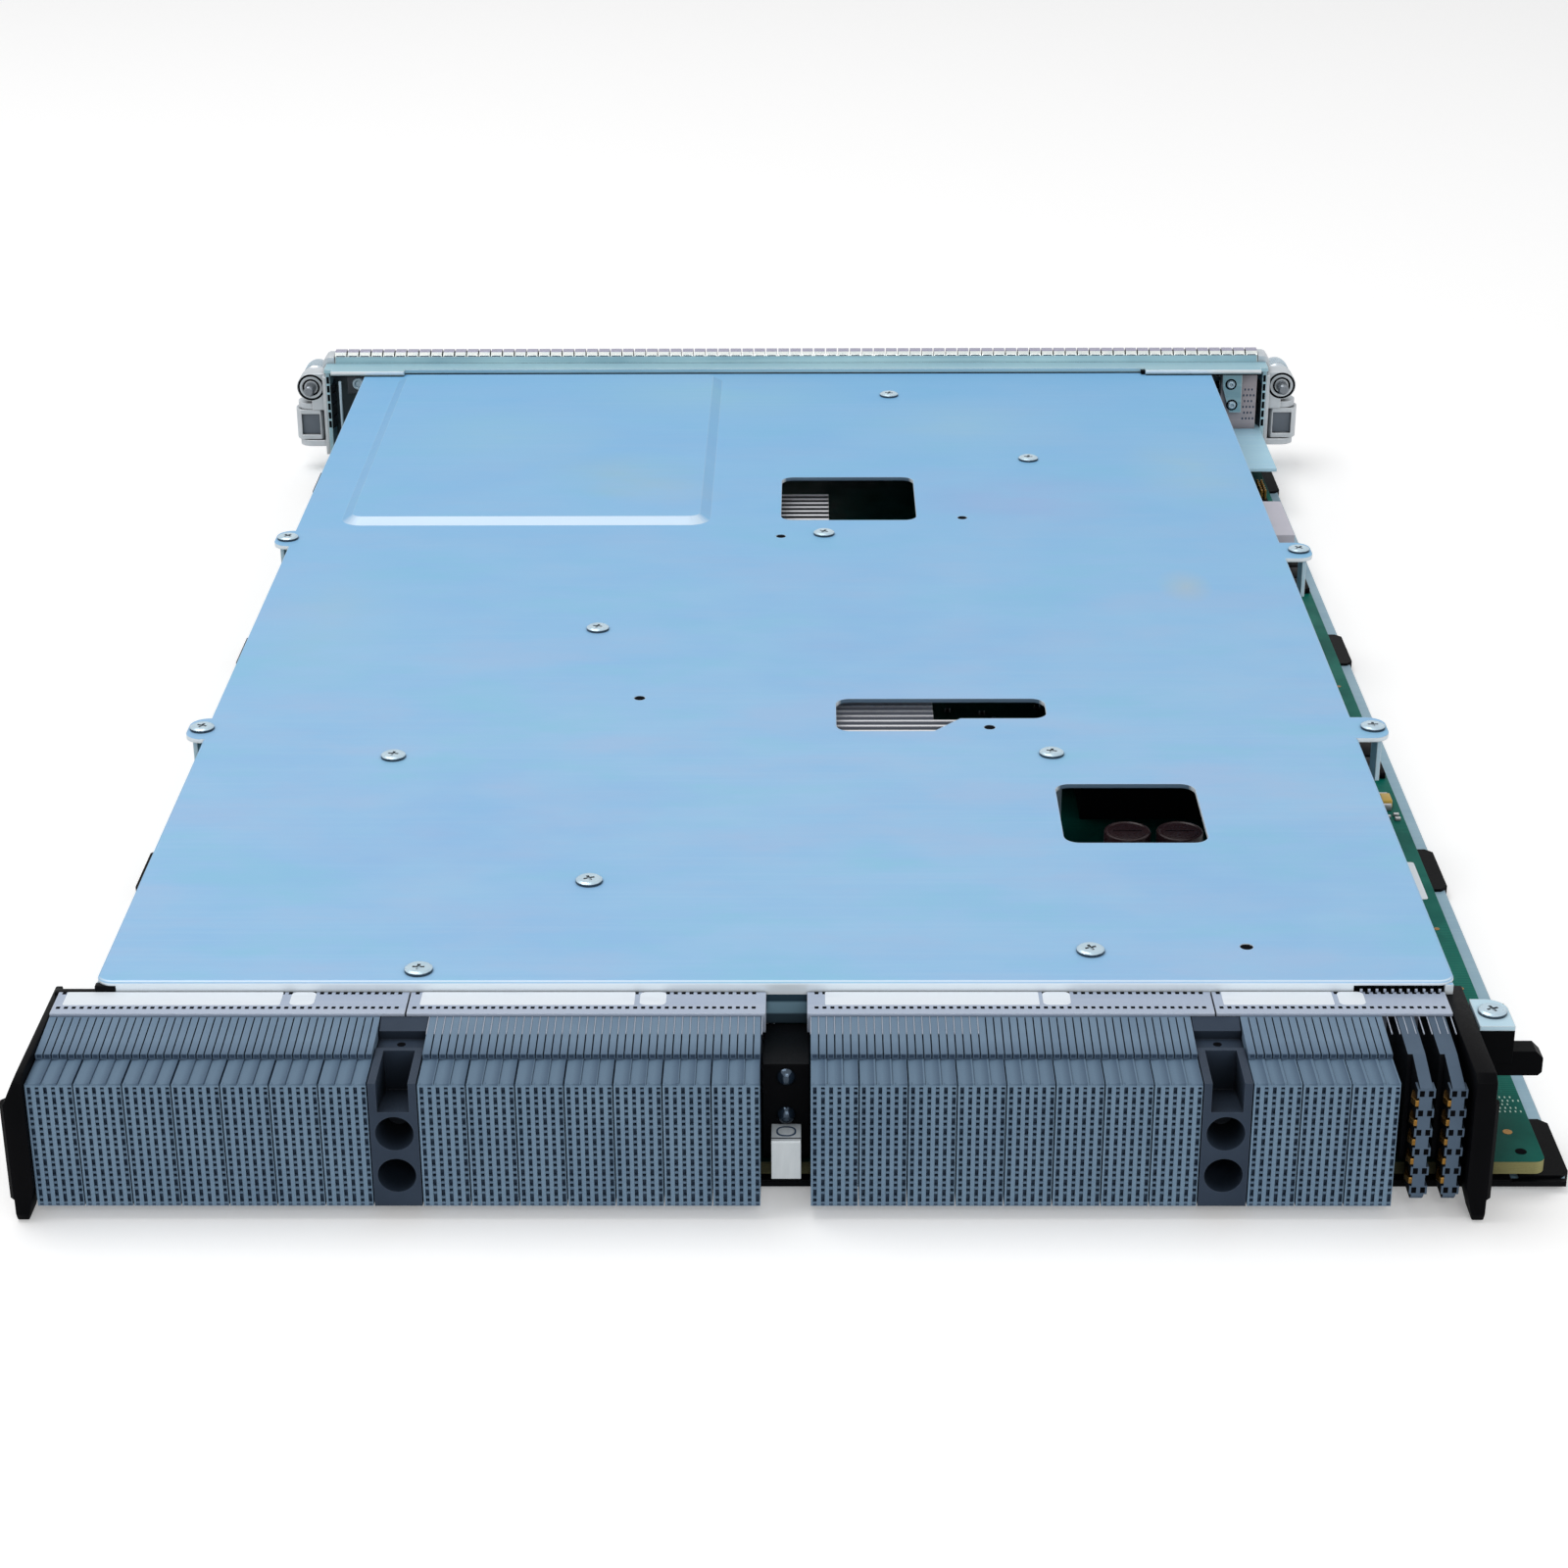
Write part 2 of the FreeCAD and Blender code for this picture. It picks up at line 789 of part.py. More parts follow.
def bay_block():
    x0 = bay_middle - bay_block_width / 2
    x1 = bay_middle + bay_block_width / 2
    block = side_prism([(bay_block_front, board_top), (stiffener_back, board_top),
                        (stiffener_back, bay_block_top - bay_block_fall),
                        (bay_block_front, bay_block_top)], x0, x1)
    holes = [rod(bay_middle, z, bay_block_front, bay_block_front + screw_length, thread_hole_radius)
             for z in bay_screw_heights]
    return block.cut(holes)


def bay_screw(z):
    head = rod(bay_middle, z, bay_block_front - bay_screw_height, bay_block_front, bay_screw_radius)
    rim = [e for e in head.Edges if e.BoundBox.YMax < bay_block_front - bay_screw_height + 0.01]
    head = head.makeFillet(bay_screw_height * 0.8, rim)
    shank = rod(bay_middle, z, bay_block_front, bay_block_front + screw_length - seat_gap, screw_shank_radius)
    return join(head, shank)


def fixing_screws():
    ear_length = cover_thickness + bracket_sheet
    screws = [pan_screw(x, y, cover_top, screw_length) for x, y in screw_places]
    screws += [pan_screw(side * ear_screw_x, y, cover_top, ear_length) for side, y in ear_places]
    x, y = corner_screw_place()
    screws.append(pan_screw(x, y, corner_top + cover_thickness, screw_length))
    screws += [bay_screw(z) for z in bay_screw_heights]
    return group(screws)


def ground_block():
    ledge = board_front - seat_gap
    outline = [(ground_front, ground_nose_bottom), (ledge, ground_nose_bottom), (ledge, board_top),
               (bay_block_front, board_top), (bay_block_front, ground_top),
               (ground_front + ground_chamfer, ground_top), (ground_front, ground_top - ground_chamfer)]
    return side_prism(outline, bay_middle - ground_width / 2, bay_middle + ground_width / 2)


def power_blade(start):
    # Insulating blade that carries the power contacts: a wide root, a thin nose and lugs along its front
    end = start + blade_thickness
    back = stiffener_back - stiffener_sheet
    ledge = board_front - seat_gap
    low = blade_bottom + blade_foot_chamfer
    nose = [(blade_front, low), (blade_front + blade_foot_chamfer, blade_bottom),
            (ledge - blade_foot_chamfer, blade_bottom), (ledge, low), (ledge, board_top),
            (housing_depth, board_top), (housing_depth, wafer_top), (blade_front, face_top - blade_top_fall)]
    root = [(housing_depth, board_top), (back, board_top), (back, stiffener_z),
            (wafer_step_y, stiffener_z), (housing_depth, wafer_top)]
    pieces = [side_prism(root, start - blade_shoulder, end)]
    for n in range(tooth_count):
        z = tooth_first_z + n * tooth_pitch
        pieces.append(box(start - tooth_back_reach, end + tooth_reach, blade_front, blade_front + tooth_depth,
                          z, z + tooth_height))
    return join(side_prism(nose, start, end), *pieces)


def power_blades():
    return group([power_blade(start) for start in blade_starts])


def power_contact(start, n):
    # Bowed gold spring beside the blade
    z = tooth_first_z + n * tooth_pitch + (tooth_height + tooth_pitch - contact_height) / 2
    y = blade_front
    points = [(start, y + contact_depth), (start - contact_reach * 0.4, y + contact_depth),
              (start - contact_reach, y + contact_depth * 0.4), (start - contact_reach * 0.5, y),
              (start, y)]
    return flat_prism(points, z, z + contact_height)


def power_contacts():
    return group([power_contact(start, n) for start in blade_starts for n in range(tooth_count - 1)])


def end_plate(inner_x, outer_x):
    # Moulded end wall of the row: a nose in front of the board edge, a foot on the board behind
    ledge = board_front - seat_gap
    outline = [(plate_front + plate_bevel / 2, 0), (plate_toe, 0), (ledge, plate_toe_rise),
               (ledge, board_top), (plate_back, board_top), (plate_back, plate_top),
               (plate_front + plate_knee_depth, plate_top),
               (plate_front, plate_top - plate_knee), (plate_front, plate_bevel)]
    plate = side_prism(outline, min(inner_x, outer_x), max(inner_x, outer_x))
    outward = 1 if outer_x > inner_x else -1
    lead = end_prism([(inner_x, 0), (inner_x + outward * plate_bevel, 0), (inner_x, plate_bevel_height)],
                     plate_front, plate_back)
    rib_face = outer_x + outward * plate_rib
    rib_y = plate_front + plate_knee_depth
    rib = flat_prism([(outer_x, plate_front), (rib_face, plate_front + plate_rib), (rib_face, rib_y),
                      (outer_x, rib_y + plate_rib)], plate_rib_bottom, plate_rib_top)
    return join(plate.cut(lead), rib)


def corner_block():
    # Moulded lug beside the right end plate, with an arm that reaches over the board's edge
    left = corner_left
    right = corner_left + corner_width
    column = box(left, left + corner_column_width, corner_front, corner_back, board_top, corner_head_bottom)
    head = box(left, right, corner_front, corner_back, corner_head_bottom, corner_top)
    arm = end_prism([(left, arm_bottom), (arm_end - arm_chamfer / 2, arm_bottom),
                     (arm_end, arm_bottom + arm_chamfer / 2), (arm_end, arm_top - arm_chamfer),
                     (arm_end - arm_chamfer, arm_top), (left, arm_top)], arm_front, arm_back)
    block = join(column, head, arm)
    x, y = corner_screw_place()
    depth = screw_length - cover_thickness + seat_gap
    return block.cut(post(x, y, corner_top - depth, corner_top, thread_hole_radius))


def corner_tab():
    right = corner_left + corner_width
    tab = box(corner_left, right, corner_front, corner_back, corner_top, corner_top + cover_thickness)
    far = [e for e in tab.Edges if abs(e.tangentAt(e.FirstParameter).z) > 0.99
           and e.BoundBox.XMin > corner_left + 1 and e.BoundBox.YMin > corner_front + 1]
    tab = tab.makeFillet(ear_radius, far)
    x, y = corner_screw_place()
    return tab.cut(post(x, y, corner_top, corner_top + cover_thickness, screw_hole_radius))


def heat_sink(footprint):
    # Base plate with upright fins that run across the card
    x0, x1, y0, y1 = footprint
    base_z = board_top + chip_height
    fin_z = base_z + sink_base
    base = box(x0, x1, y0, y1, base_z, fin_z)
    count = int((y1 - y0 - fin_thickness) / fin_pitch) + 1
    spread = (count - 1) * fin_pitch + fin_thickness
    first = (y0 + y1 - spread) / 2
    fins = [box(x0, x1, first + n * fin_pitch, first + n * fin_pitch + fin_thickness, fin_z, sink_top)
            for n in range(count)]
    return join(base, *fins)


def chip_under(footprint):
    x0, x1, y0, y1 = footprint
    return box(x0 + chip_inset, x1 - chip_inset, y0 + chip_inset, y1 - chip_inset,
               board_top, board_top + chip_height)


def switch_body(x):
    width, depth = switch_size
    front = panel_front + button_proud - button_length - button_travel - slip_gap
    return box(x - width / 2, x + width / 2, front - depth, front, board_top, button_z + button_collar_radius)


def board_chips():
    switches = [switch_body(x) for x in button_places]
    return group([chip_under(fabric_sink), chip_under(processor_sink)] + switches)


def capacitors():
    cans = []
    for x, y in capacitor_places:
        can = post(x, y, board_top, board_top + capacitor_height, capacitor_radius)
        crown = [e for e in can.Edges if e.BoundBox.ZMin > board_top + 1 and e.Closed]
        cans.append(can.makeChamfer(capacitor_crown, crown))
    return group(cans)


def memory_module(x):
    y0, y1 = memory_start, memory_start + memory_length
    half = memory_socket_width / 2
    floor = board_top + memory_socket_height / 2
    slit = box(x - memory_thickness / 2, x + memory_thickness / 2, y0, y1, floor, board_top + memory_height)
    socket = box(x - half, x + half, y0 - half, y1 + half, board_top, board_top + memory_socket_height)
    return [socket.cut(slit), slit]


def memory_modules():
    pieces = []
    for x in memory_places:
        pieces += memory_module(x)
    return group(pieces)


def power_converters():
    width, depth, height = converter_size
    top = board_top + height
    return group([box(x, x + width, y, y + depth, board_top, top) for x, y in converter_places])


def drive_bracket():
    x0, y0 = drive_corner
    width, length, _ = drive_size
    x1, y1 = x0 + width, y0 + length
    shelf = board_top + drive_lift
    foot_top = board_top + drive_sheet
    under = shelf - drive_sheet
    outline = [(x0 - drive_foot, board_top), (x0, board_top), (x0, under), (x1, under), (x1, board_top),
               (x1 + drive_foot, board_top), (x1 + drive_foot, foot_top), (x1 + drive_sheet, foot_top),
               (x1 + drive_sheet, shelf), (x0 - drive_sheet, shelf), (x0 - drive_sheet, foot_top),
               (x0 - drive_foot, foot_top)]
    return end_prism(outline, y0, y1)


def storage_drive():
    x0, y0 = drive_corner
    width, length, height = drive_size
    shelf = board_top + drive_lift
    return rounded_box(x0, x0 + width, y0, y0 + length, shelf, shelf + height, drive_sheet)


def shield_can():
    top = board_top + can_height
    shell = box(can_left, can_right, can_front, can_back, board_top, top)
    return shell.cut(box(can_left + can_sheet, can_right - can_sheet, can_front + can_sheet,
                         can_back - can_sheet, board_top, top - can_sheet))


def corner_gusset():
    # Flat plate tying the faceplate's right return to the board, with a folded leg and foot
    right = panel_half_width - panel_sheet - seat_gap
    top = board_top + gusset_height
    back = panel_back - seat_gap
    outline = [(gusset_left - bracket_foot, board_top), (gusset_left, board_top),
               (gusset_left, top - gusset_sheet), (right, top - gusset_sheet), (right, top),
               (gusset_left - gusset_sheet, top), (gusset_left - gusset_sheet, board_top + gusset_sheet),
               (gusset_left - bracket_foot, board_top + gusset_sheet)]
    plate = end_prism(outline, gusset_front, back)
    notch = board_back - bracket_foot
    return plate.cut(box(gusset_left - bracket_foot, gusset_left, notch, back, board_top, top))


def alarm_outline(grow):
    wide = alarm_shell_width / 2 + grow
    narrow = wide - alarm_shell_slant
    low = port_middle() - alarm_shell_height / 2 - grow
    high = port_middle() + alarm_shell_height / 2 + grow
    return [(alarm_centre - narrow, low), (alarm_centre + narrow, low),
            (alarm_centre + wide, high), (alarm_centre - wide, high)]


def port_middle():
    return board_top + jack_height / 2


def panel_openings():
    # Every hole through the faceplate, each a clearance larger than what it takes
    low, high = panel_back, panel_front
    gap = slip_gap
    cuts = []
    for x, count in zip(jack_starts, jack_counts):
        cuts.append(box(x - gap, x + count * jack_pitch + gap, low, high, board_top - gap,
                        board_top + jack_height + gap))
    for x in cage_starts:
        cuts.append(box(x - gap, x + cage_width + gap, low, high, board_top - gap,
                        board_top + cage_height + gap))
    cuts.append(box(service_left - gap, service_left + service_width + gap, low, high, board_top - gap,
                    board_top + service_height + gap))
    cuts.append(end_prism(alarm_outline(gap), low, high))
    for x in coax_places:
        cuts.append(rod(x, coax_z, low, high, coax_radius + gap))
    cuts.append(box(display_left - gap, display_left + display_width + gap, low, high, display_bottom - gap,
                    display_bottom + display_height + gap))
    for x, z in light_places():
        cuts.append(rod(x, z, low, high, light_radius + seat_gap))
    for x in button_places:
        cuts.append(rod(x, button_z, low, high, button_radius + slip_gap))
    return cuts


def panel_vents():
    cuts = []
    for inset in vent_insets:
        for z in vent_heights:
            for x in (panel_left + inset, panel_half_width - inset):
                cuts.append(box(x - vent_width / 2, x + vent_width / 2, panel_back, panel_front,
                                z - vent_height / 2, z + vent_height / 2))
    for x in air_slot_x_places:
        for z in air_slot_heights:
            cuts.append(box(x - air_slot_width / 2, x + air_slot_width / 2, panel_back, panel_front,
                            z - air_slot_height / 2, z + air_slot_height / 2))
    return cuts


def faceplate():
    # Folded pan: front wall, top and bottom flanges, end returns and deeper lips at the top corners
    half = panel_half_width
    rear = panel_front - panel_flange_reach
    wall = box(panel_left, half, panel_back, panel_front, flange_low, panel_high)
    top = box(panel_left, half, rear, panel_front, flange_high, panel_high)
    bottom = box(panel_left, half, rear, panel_front, flange_low, flange_low + panel_sheet)
    ends = []
    for side, lip in zip((-1, 1), panel_lip_widths):
        reach = half if side > 0 else -panel_left
        x0, x1 = sorted((side * reach, side * (reach - panel_sheet)))
        ends.append(box(x0, x1, panel_front - panel_return_depth, panel_front, flange_low, panel_high))
        outer = reach - panel_lip_inset
        x0, x1 = sorted((side * (outer - lip), side * outer))
        ends.append(box(x0, x1, rear - panel_lip_reach, rear, flange_high, panel_high))
    return join(wall, top, bottom, *ends).cut(panel_openings() + panel_vents())


def gasket_strip(base_z, tip_z, x0, x1):
    # Arched sheet on a flange, slit into spring fingers
    rise = tip_z - base_z
    up = 1 if rise > 0 else -1
    sheet = gasket_sheet
    rear = panel_front - gasket_depth
    bulge = rear + gasket_bulge
    crest = rear + gasket_crest
    fall = panel_front - gasket_fall
    outline = [(rear, base_z), (bulge, base_z + rise * 0.75), (crest, tip_z), (fall, tip_z),
               (panel_front, base_z + rise * 0.4), (panel_front, base_z)]
    hollow = [(rear + 2 * sheet, base_z + up * sheet), (bulge + sheet, base_z + rise * 0.7),
              (crest + sheet / 2, tip_z - up * sheet), (fall - sheet / 2, tip_z - up * sheet),
              (panel_front - sheet, base_z + rise * 0.35), (panel_front - sheet, base_z + up * sheet)]
    strip = side_prism(outline, x0, x1).cut(side_prism(hollow, x0, x1))
    count = int(round((x1 - x0) / finger_pitch))
    pitch = (x1 - x0) / count
    low, high = sorted((base_z + up * sheet, tip_z + up))
    slits = []
    for n in range(1, count):
        x = x0 + n * pitch
        slits.append(box(x - finger_gap / 2, x + finger_gap / 2, rear, panel_front, low, high))
    return strip.cut(slits)


def top_gasket():
    return gasket_strip(panel_high, panel_high + top_gasket_rise, panel_left + top_gasket_inset,
                        panel_half_width - top_gasket_inset)


def bottom_gasket():
    return gasket_strip(flange_low, 0, panel_left, panel_half_width)


def side_gasket():
    # Short finger strip on the inner side of the faceplate's end return
    inner = panel_half_width - panel_sheet
    y0 = panel_front - panel_return_depth
    y1 = panel_back - 2 * seat_gap
    middle = (y0 + y1) / 2
    crest = inner - side_gasket_rise
    low = board_top + side_gasket_low
    high = board_top + side_gasket_high
    strip = flat_prism([(inner, y0), (crest, middle - 1), (crest, middle + 1), (inner, y1)], low, high)
    slits = []
    for n in range(1, int((high - low) / finger_pitch) + 1):
        z = low + n * finger_pitch
        slits.append(box(crest, inner - gasket_sheet, y0, y1, z - finger_gap / 2, z + finger_gap / 2))
    return strip.cut(slits)


def side_gaskets():
    right = side_gasket()
    return group([right, left_end(right)])


def ejector_bracket():
    # Cast bracket on the return: a cheek, two ears for the lever, a boss for the captive screw and a cap
    # that bends over the end of the top flange
    low_ear_top = lever_bottom - lever_side_gap
    high_ear_low = lever_top + lever_side_gap
    cheek = box(panel_half_width, cheek_outer, panel_front - bracket_cheek_depth, panel_front,
                bracket_bottom, captive_z + boss_radius)
    pieces = []
    for z0 in (low_ear_top - ear_plate_thickness, high_ear_low):
        z1 = z0 + ear_plate_thickness
        pieces.append(box(panel_half_width, pivot_x, pivot_y - ear_plate_radius, panel_front, z0, z1))
        pieces.append(post(pivot_x, pivot_y, z0, z1, ear_plate_radius))
    pieces.append(rod(captive_x, captive_z, boss_back, boss_front, boss_radius))
    boss_top = captive_z + boss_radius
    cap_top = panel_high + bracket_cap_rise
    cap_end = panel_half_width - bracket_cap_reach
    cap = [(panel_half_width, captive_z), (cheek_outer, captive_z),
           (cheek_outer, cap_top - 2 * bracket_cap_ease),
           (cheek_outer - bracket_cap_ease, cap_top - bracket_cap_ease / 2),
           (cheek_outer - 2 * bracket_cap_ease, cap_top), (cap_end, cap_top), (cap_end, panel_high),
           (panel_half_width, panel_high)]
    pieces.append(end_prism(cap, boss_back, panel_front))
    pieces.append(box(panel_half_width, captive_x, boss_back, boss_front, high_ear_low, boss_top))
    cuts = [post(pivot_x, pivot_y, 0, captive_z, lever_pin_radius + pin_gap),
            rod(captive_x, captive_z, boss_back, boss_front - boss_wall, boss_bore_radius),
            rod(captive_x, captive_z, boss_front - boss_wall, boss_front, captive_neck_radius + slip_gap)]
    return join(cheek, *pieces).cut(cuts)


def ejector_lever():
    # Hub with a flat back and a pocket, and a handle that lies along the faceplate with a flared tip
    hub = post(pivot_x, pivot_y, lever_bottom, lever_top, hub_radius)
    hub = hub.cut(box(pivot_x - hub_radius, pivot_x + hub_radius, pivot_y - hub_radius, pivot_y - hub_flat,
                      lever_bottom, lever_top))
    near = panel_front + handle_gap
    far = near + handle_depth
    tip = pivot_x - handle_length
    bend = tip + handle_flare_length
    root = pivot_x - handle_root
    heel = pivot_x - hub_radius * 0.8
    outline = [(pivot_x, pivot_y + hub_radius), (root, far), (bend, far), (tip, far + handle_flare),
               (tip, far + handle_flare - handle_tip), (bend, near + handle_hollow),
               (root - handle_taper, near), (heel, near), (pivot_x, pivot_y)]
    handle = flat_prism(outline, lever_bottom, lever_top)
    lever = join(hub, handle)
    half = hub_pocket_width / 2
    pocket = box(pivot_x - half, pivot_x + half, pivot_y - hub_flat, pivot_y - hub_flat + hub_pocket_depth,
                 lever_bottom + hub_pocket_margin, lever_top - hub_pocket_margin)
    hole = post(pivot_x, pivot_y, lever_bottom, lever_top, lever_pin_radius + running_gap)
    return lever.cut([pocket, hole])


def lever_pin():
    low = lever_bottom - lever_side_gap - ear_plate_thickness
    high = lever_top + lever_side_gap + ear_plate_thickness
    shank = post(pivot_x, pivot_y, low, high, lever_pin_radius)
    return join(shank, post(pivot_x, pivot_y, low - lever_pin_head, low, lever_pin_head_radius))


def lever_pins():
    right = lever_pin()
    return group([right, left_end(right)])


def captive_screw():
    # Full thread at the tip, a thinner neck behind it and a slotted knob
    thread_end = captive_tip + captive_thread_length
    thread = rod(captive_x, captive_z, captive_tip, thread_end, captive_thread_radius)
    point = [e for e in thread.Edges if e.BoundBox.YMax < captive_tip + 0.01]
    thread = thread.makeChamfer(captive_thread_radius - captive_neck_radius, point)
    neck = rod(captive_x, captive_z, thread_end, knob_back + knob_bore_depth, captive_neck_radius)
    knob = rod(captive_x, captive_z, knob_back, knob_front, knob_radius)
    rims = [e for e in knob.Edges if e.Closed]
    knob = knob.makeChamfer(knob_chamfer, rims)
    knob = knob.cut(rod(captive_x, captive_z, knob_back, knob_back + knob_bore_depth, knob_bore_radius))
    half = knob_slot_width / 2
    slot = box(captive_x - knob_radius, captive_x + knob_radius, knob_front - knob_slot_depth, knob_front,
               captive_z - half, captive_z + half)
    return join(knob.cut(slot), neck, thread)


def ring(y0, y1, inner, outer):
    return rod(captive_x, captive_z, y0, y1, outer).cut(rod(captive_x, captive_z, y0, y1, inner))


def screw_retainer():
    front = boss_front - boss_wall - seat_gap
    return ring(front - retainer_thickness, front, captive_neck_radius + running_gap, retainer_radius)


def screw_spring():
    return ring(boss_front, knob_back + knob_bore_depth, spring_inner_radius, spring_outer_radius)


def jack_group(x, count):
    # Moulded row of network sockets
    end = panel_front + port_proud
    body = box(x, x + count * jack_pitch, end - jack_depth, end, board_top, board_top + jack_height)
    cuts = []
    for n in range(count):
        left = x + n * jack_pitch + jack_wall
        right = x + (n + 1) * jack_pitch - jack_wall
        middle = (left + right) / 2
        floor = board_top + jack_wall + jack_latch_height
        back = end - jack_opening_depth
        half = jack_latch_width / 2
        cuts.append(box(left, right, back, end, floor, floor + jack_opening_height))
        cuts.append(box(middle - half, middle + half, back, end, floor - jack_latch_height, floor))
    return body.cut(cuts)


def network_jacks():
    return group([jack_group(x, count) for x, count in zip(jack_starts, jack_counts)])


def optical_cage(x):
    end = panel_front + port_proud
    shell = box(x, x + cage_width, end - cage_depth, end, board_top, board_top + cage_height)
    return shell.cut(box(x + cage_sheet, x + cage_width - cage_sheet, end - cage_depth + cage_sheet, end,
                         board_top + cage_sheet, board_top + cage_height - cage_sheet))


def optical_cages():
    return group([optical_cage(x) for x in cage_starts])


def service_port():
    end = panel_front + port_proud
    sheet = service_sheet
    x0, x1 = service_left, service_left + service_width
    top = board_top + service_height
    rear = end - service_depth
    shell = box(x0, x1, rear, end, board_top, top)
    shell = shell.cut(box(x0 + sheet, x1 - sheet, rear + sheet, end, board_top + sheet, top - sheet))
    middle = board_top + service_height / 2 + sheet
    tip = end - service_tongue_inset
    tongue = box(x0 + 2 * sheet, x1 - 2 * sheet, rear, tip, middle, middle + service_tongue)
    return join(shell, tongue)


def alarm_connector():
    # D-shaped shell through the panel, a flange outside and a body on the board
    middle = port_middle()
    flange_half = alarm_flange_width / 2
    low = middle - alarm_flange_height / 2
    flange = box(alarm_centre - flange_half, alarm_centre + flange_half, panel_front,
                 panel_front + alarm_flange_sheet, low, low + alarm_flange_height)
    shell = end_prism(alarm_outline(0), panel_back - seat_gap, panel_front + alarm_shell_reach)
    body = box(alarm_centre - alarm_shell_width / 2, alarm_centre + alarm_shell_width / 2,
               panel_back - alarm_body_depth, panel_back - seat_gap, board_top, board_top + jack_height)
    return join(flange, shell, body)


def coax_jack(x):
    nut = rod(x, coax_z, panel_front, panel_front + coax_nut, coax_nut_radius)
    barrel = rod(x, coax_z, panel_back - coax_tail, panel_front + coax_reach, coax_radius)
    core = rod(x, coax_z, panel_front + coax_nut, panel_front + coax_reach, coax_core_radius)
    return join(barrel, nut).cut(core)


def coax_jacks():
    return group([coax_jack(x) for x in coax_places])


def display_window():
    # Window that shows through the faceplate, on a larger module behind it
    right = display_left + display_width
    top = display_bottom + display_height
    rim = display_rim
    seat = panel_back - seat_gap
    window = box(display_left, right, seat, panel_front, display_bottom, top)
    module = box(display_left - rim, right + rim, seat - display_depth, seat, display_bottom - rim, top + rim)
    return join(window, module)


def light_places():
    return [(light_first + n * light_pitch, z) for z in light_heights for n in range(light_count)]


def status_lights():
    return group([rod(x, z, panel_front - light_length, panel_front + port_proud, light_radius)
                  for x, z in light_places()])


def push_button(x):
    front = panel_front + button_proud
    stem = rod(x, button_z, front - button_length, front, button_radius)
    seat = panel_back - seat_gap
    collar = rod(x, button_z, seat - button_collar, seat, button_collar_radius)
    return join(stem, collar)


def all_pieces():
    pieces = {
        "base_tray": base_tray(),
        "edge_pads": edge_pads(),
        "insulator_film": insulator_film(),
        "board_standoffs": board_standoffs(),
        "circuit_board": circuit_board(),
        "top_cover": top_cover(),
        "fixing_screws": fixing_screws(),
        "cover_standoffs": cover_standoffs(),
        "side_brackets": side_brackets(),
        "wafer_stacks": wafer_stacks(),
        "stiffeners": stiffeners(),
        "bay_block": bay_block(),
        "ground_block": ground_block(),
        "power_blades": power_blades(),
        "power_contacts": power_contacts(),
        "end_plate_left": end_plate(row_start - seat_gap, row_start - seat_gap - plate_thickness),
        "end_plate_right": end_plate(plate_right, plate_right + plate_thickness),
        "corner_block": corner_block(),
        "corner_tab": corner_tab(),
        "fabric_heat_sink": heat_sink(fabric_sink),
        "processor_heat_sink": heat_sink(processor_sink),
        "board_chips": board_chips(),
        "capacitors": capacitors(),
        "memory_modules": memory_modules(),
        "power_converters": power_converters(),
        "drive_bracket": drive_bracket(),
        "storage_drive": storage_drive(),
        "shield_can": shield_can(),
        "corner_gusset": corner_gusset(),
        "faceplate": faceplate(),
        "top_gasket": top_gasket(),
        "bottom_gasket": bottom_gasket(),
        "side_gaskets": side_gaskets(),
        "lever_pins": lever_pins(),
        "network_jacks": network_jacks(),
        "optical_cages": optical_cages(),
        "service_port": service_port(),
        "alarm_connector": alarm_connector(),
        "coax_jacks": coax_jacks(),
        "display_window": display_window(),
        "status_lights": status_lights(),
        "alarm_button": push_button(button_places[0]),
        "lamp_button": push_button(button_places[1]),
    }
    for section in range(len(section_modules)):
        pieces["connector_housing_" + str(section + 1)] = connector_housing(section)
    for index in range(len(guide_starts)):
        pieces["guide_socket_" + str(index + 1)] = guide_socket(index)
    for name, shape in (("ejector_bracket", ejector_bracket()), ("ejector_lever", ejector_lever()),
                        ("captive_screw", captive_screw()), ("screw_retainer", screw_retainer()),
                        ("screw_spring", screw_spring())):
        pieces[name + "_right"] = shape
        pieces[name + "_left"] = left_end(shape)
    return pieces


os.makedirs("parts", exist_ok=True)
for name, shape in all_pieces().items():
    shape.translate(V(-middle_x, -middle_y, 0))
    shape.exportStep("parts/" + name + ".step")
    print(name, len(shape.Solids), "solids", round(shape.Volume / 1000, 2), "cm3", shape.isValid())
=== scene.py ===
import math

import bmesh
import bpy
from mathutils import Euler, Matrix, Vector


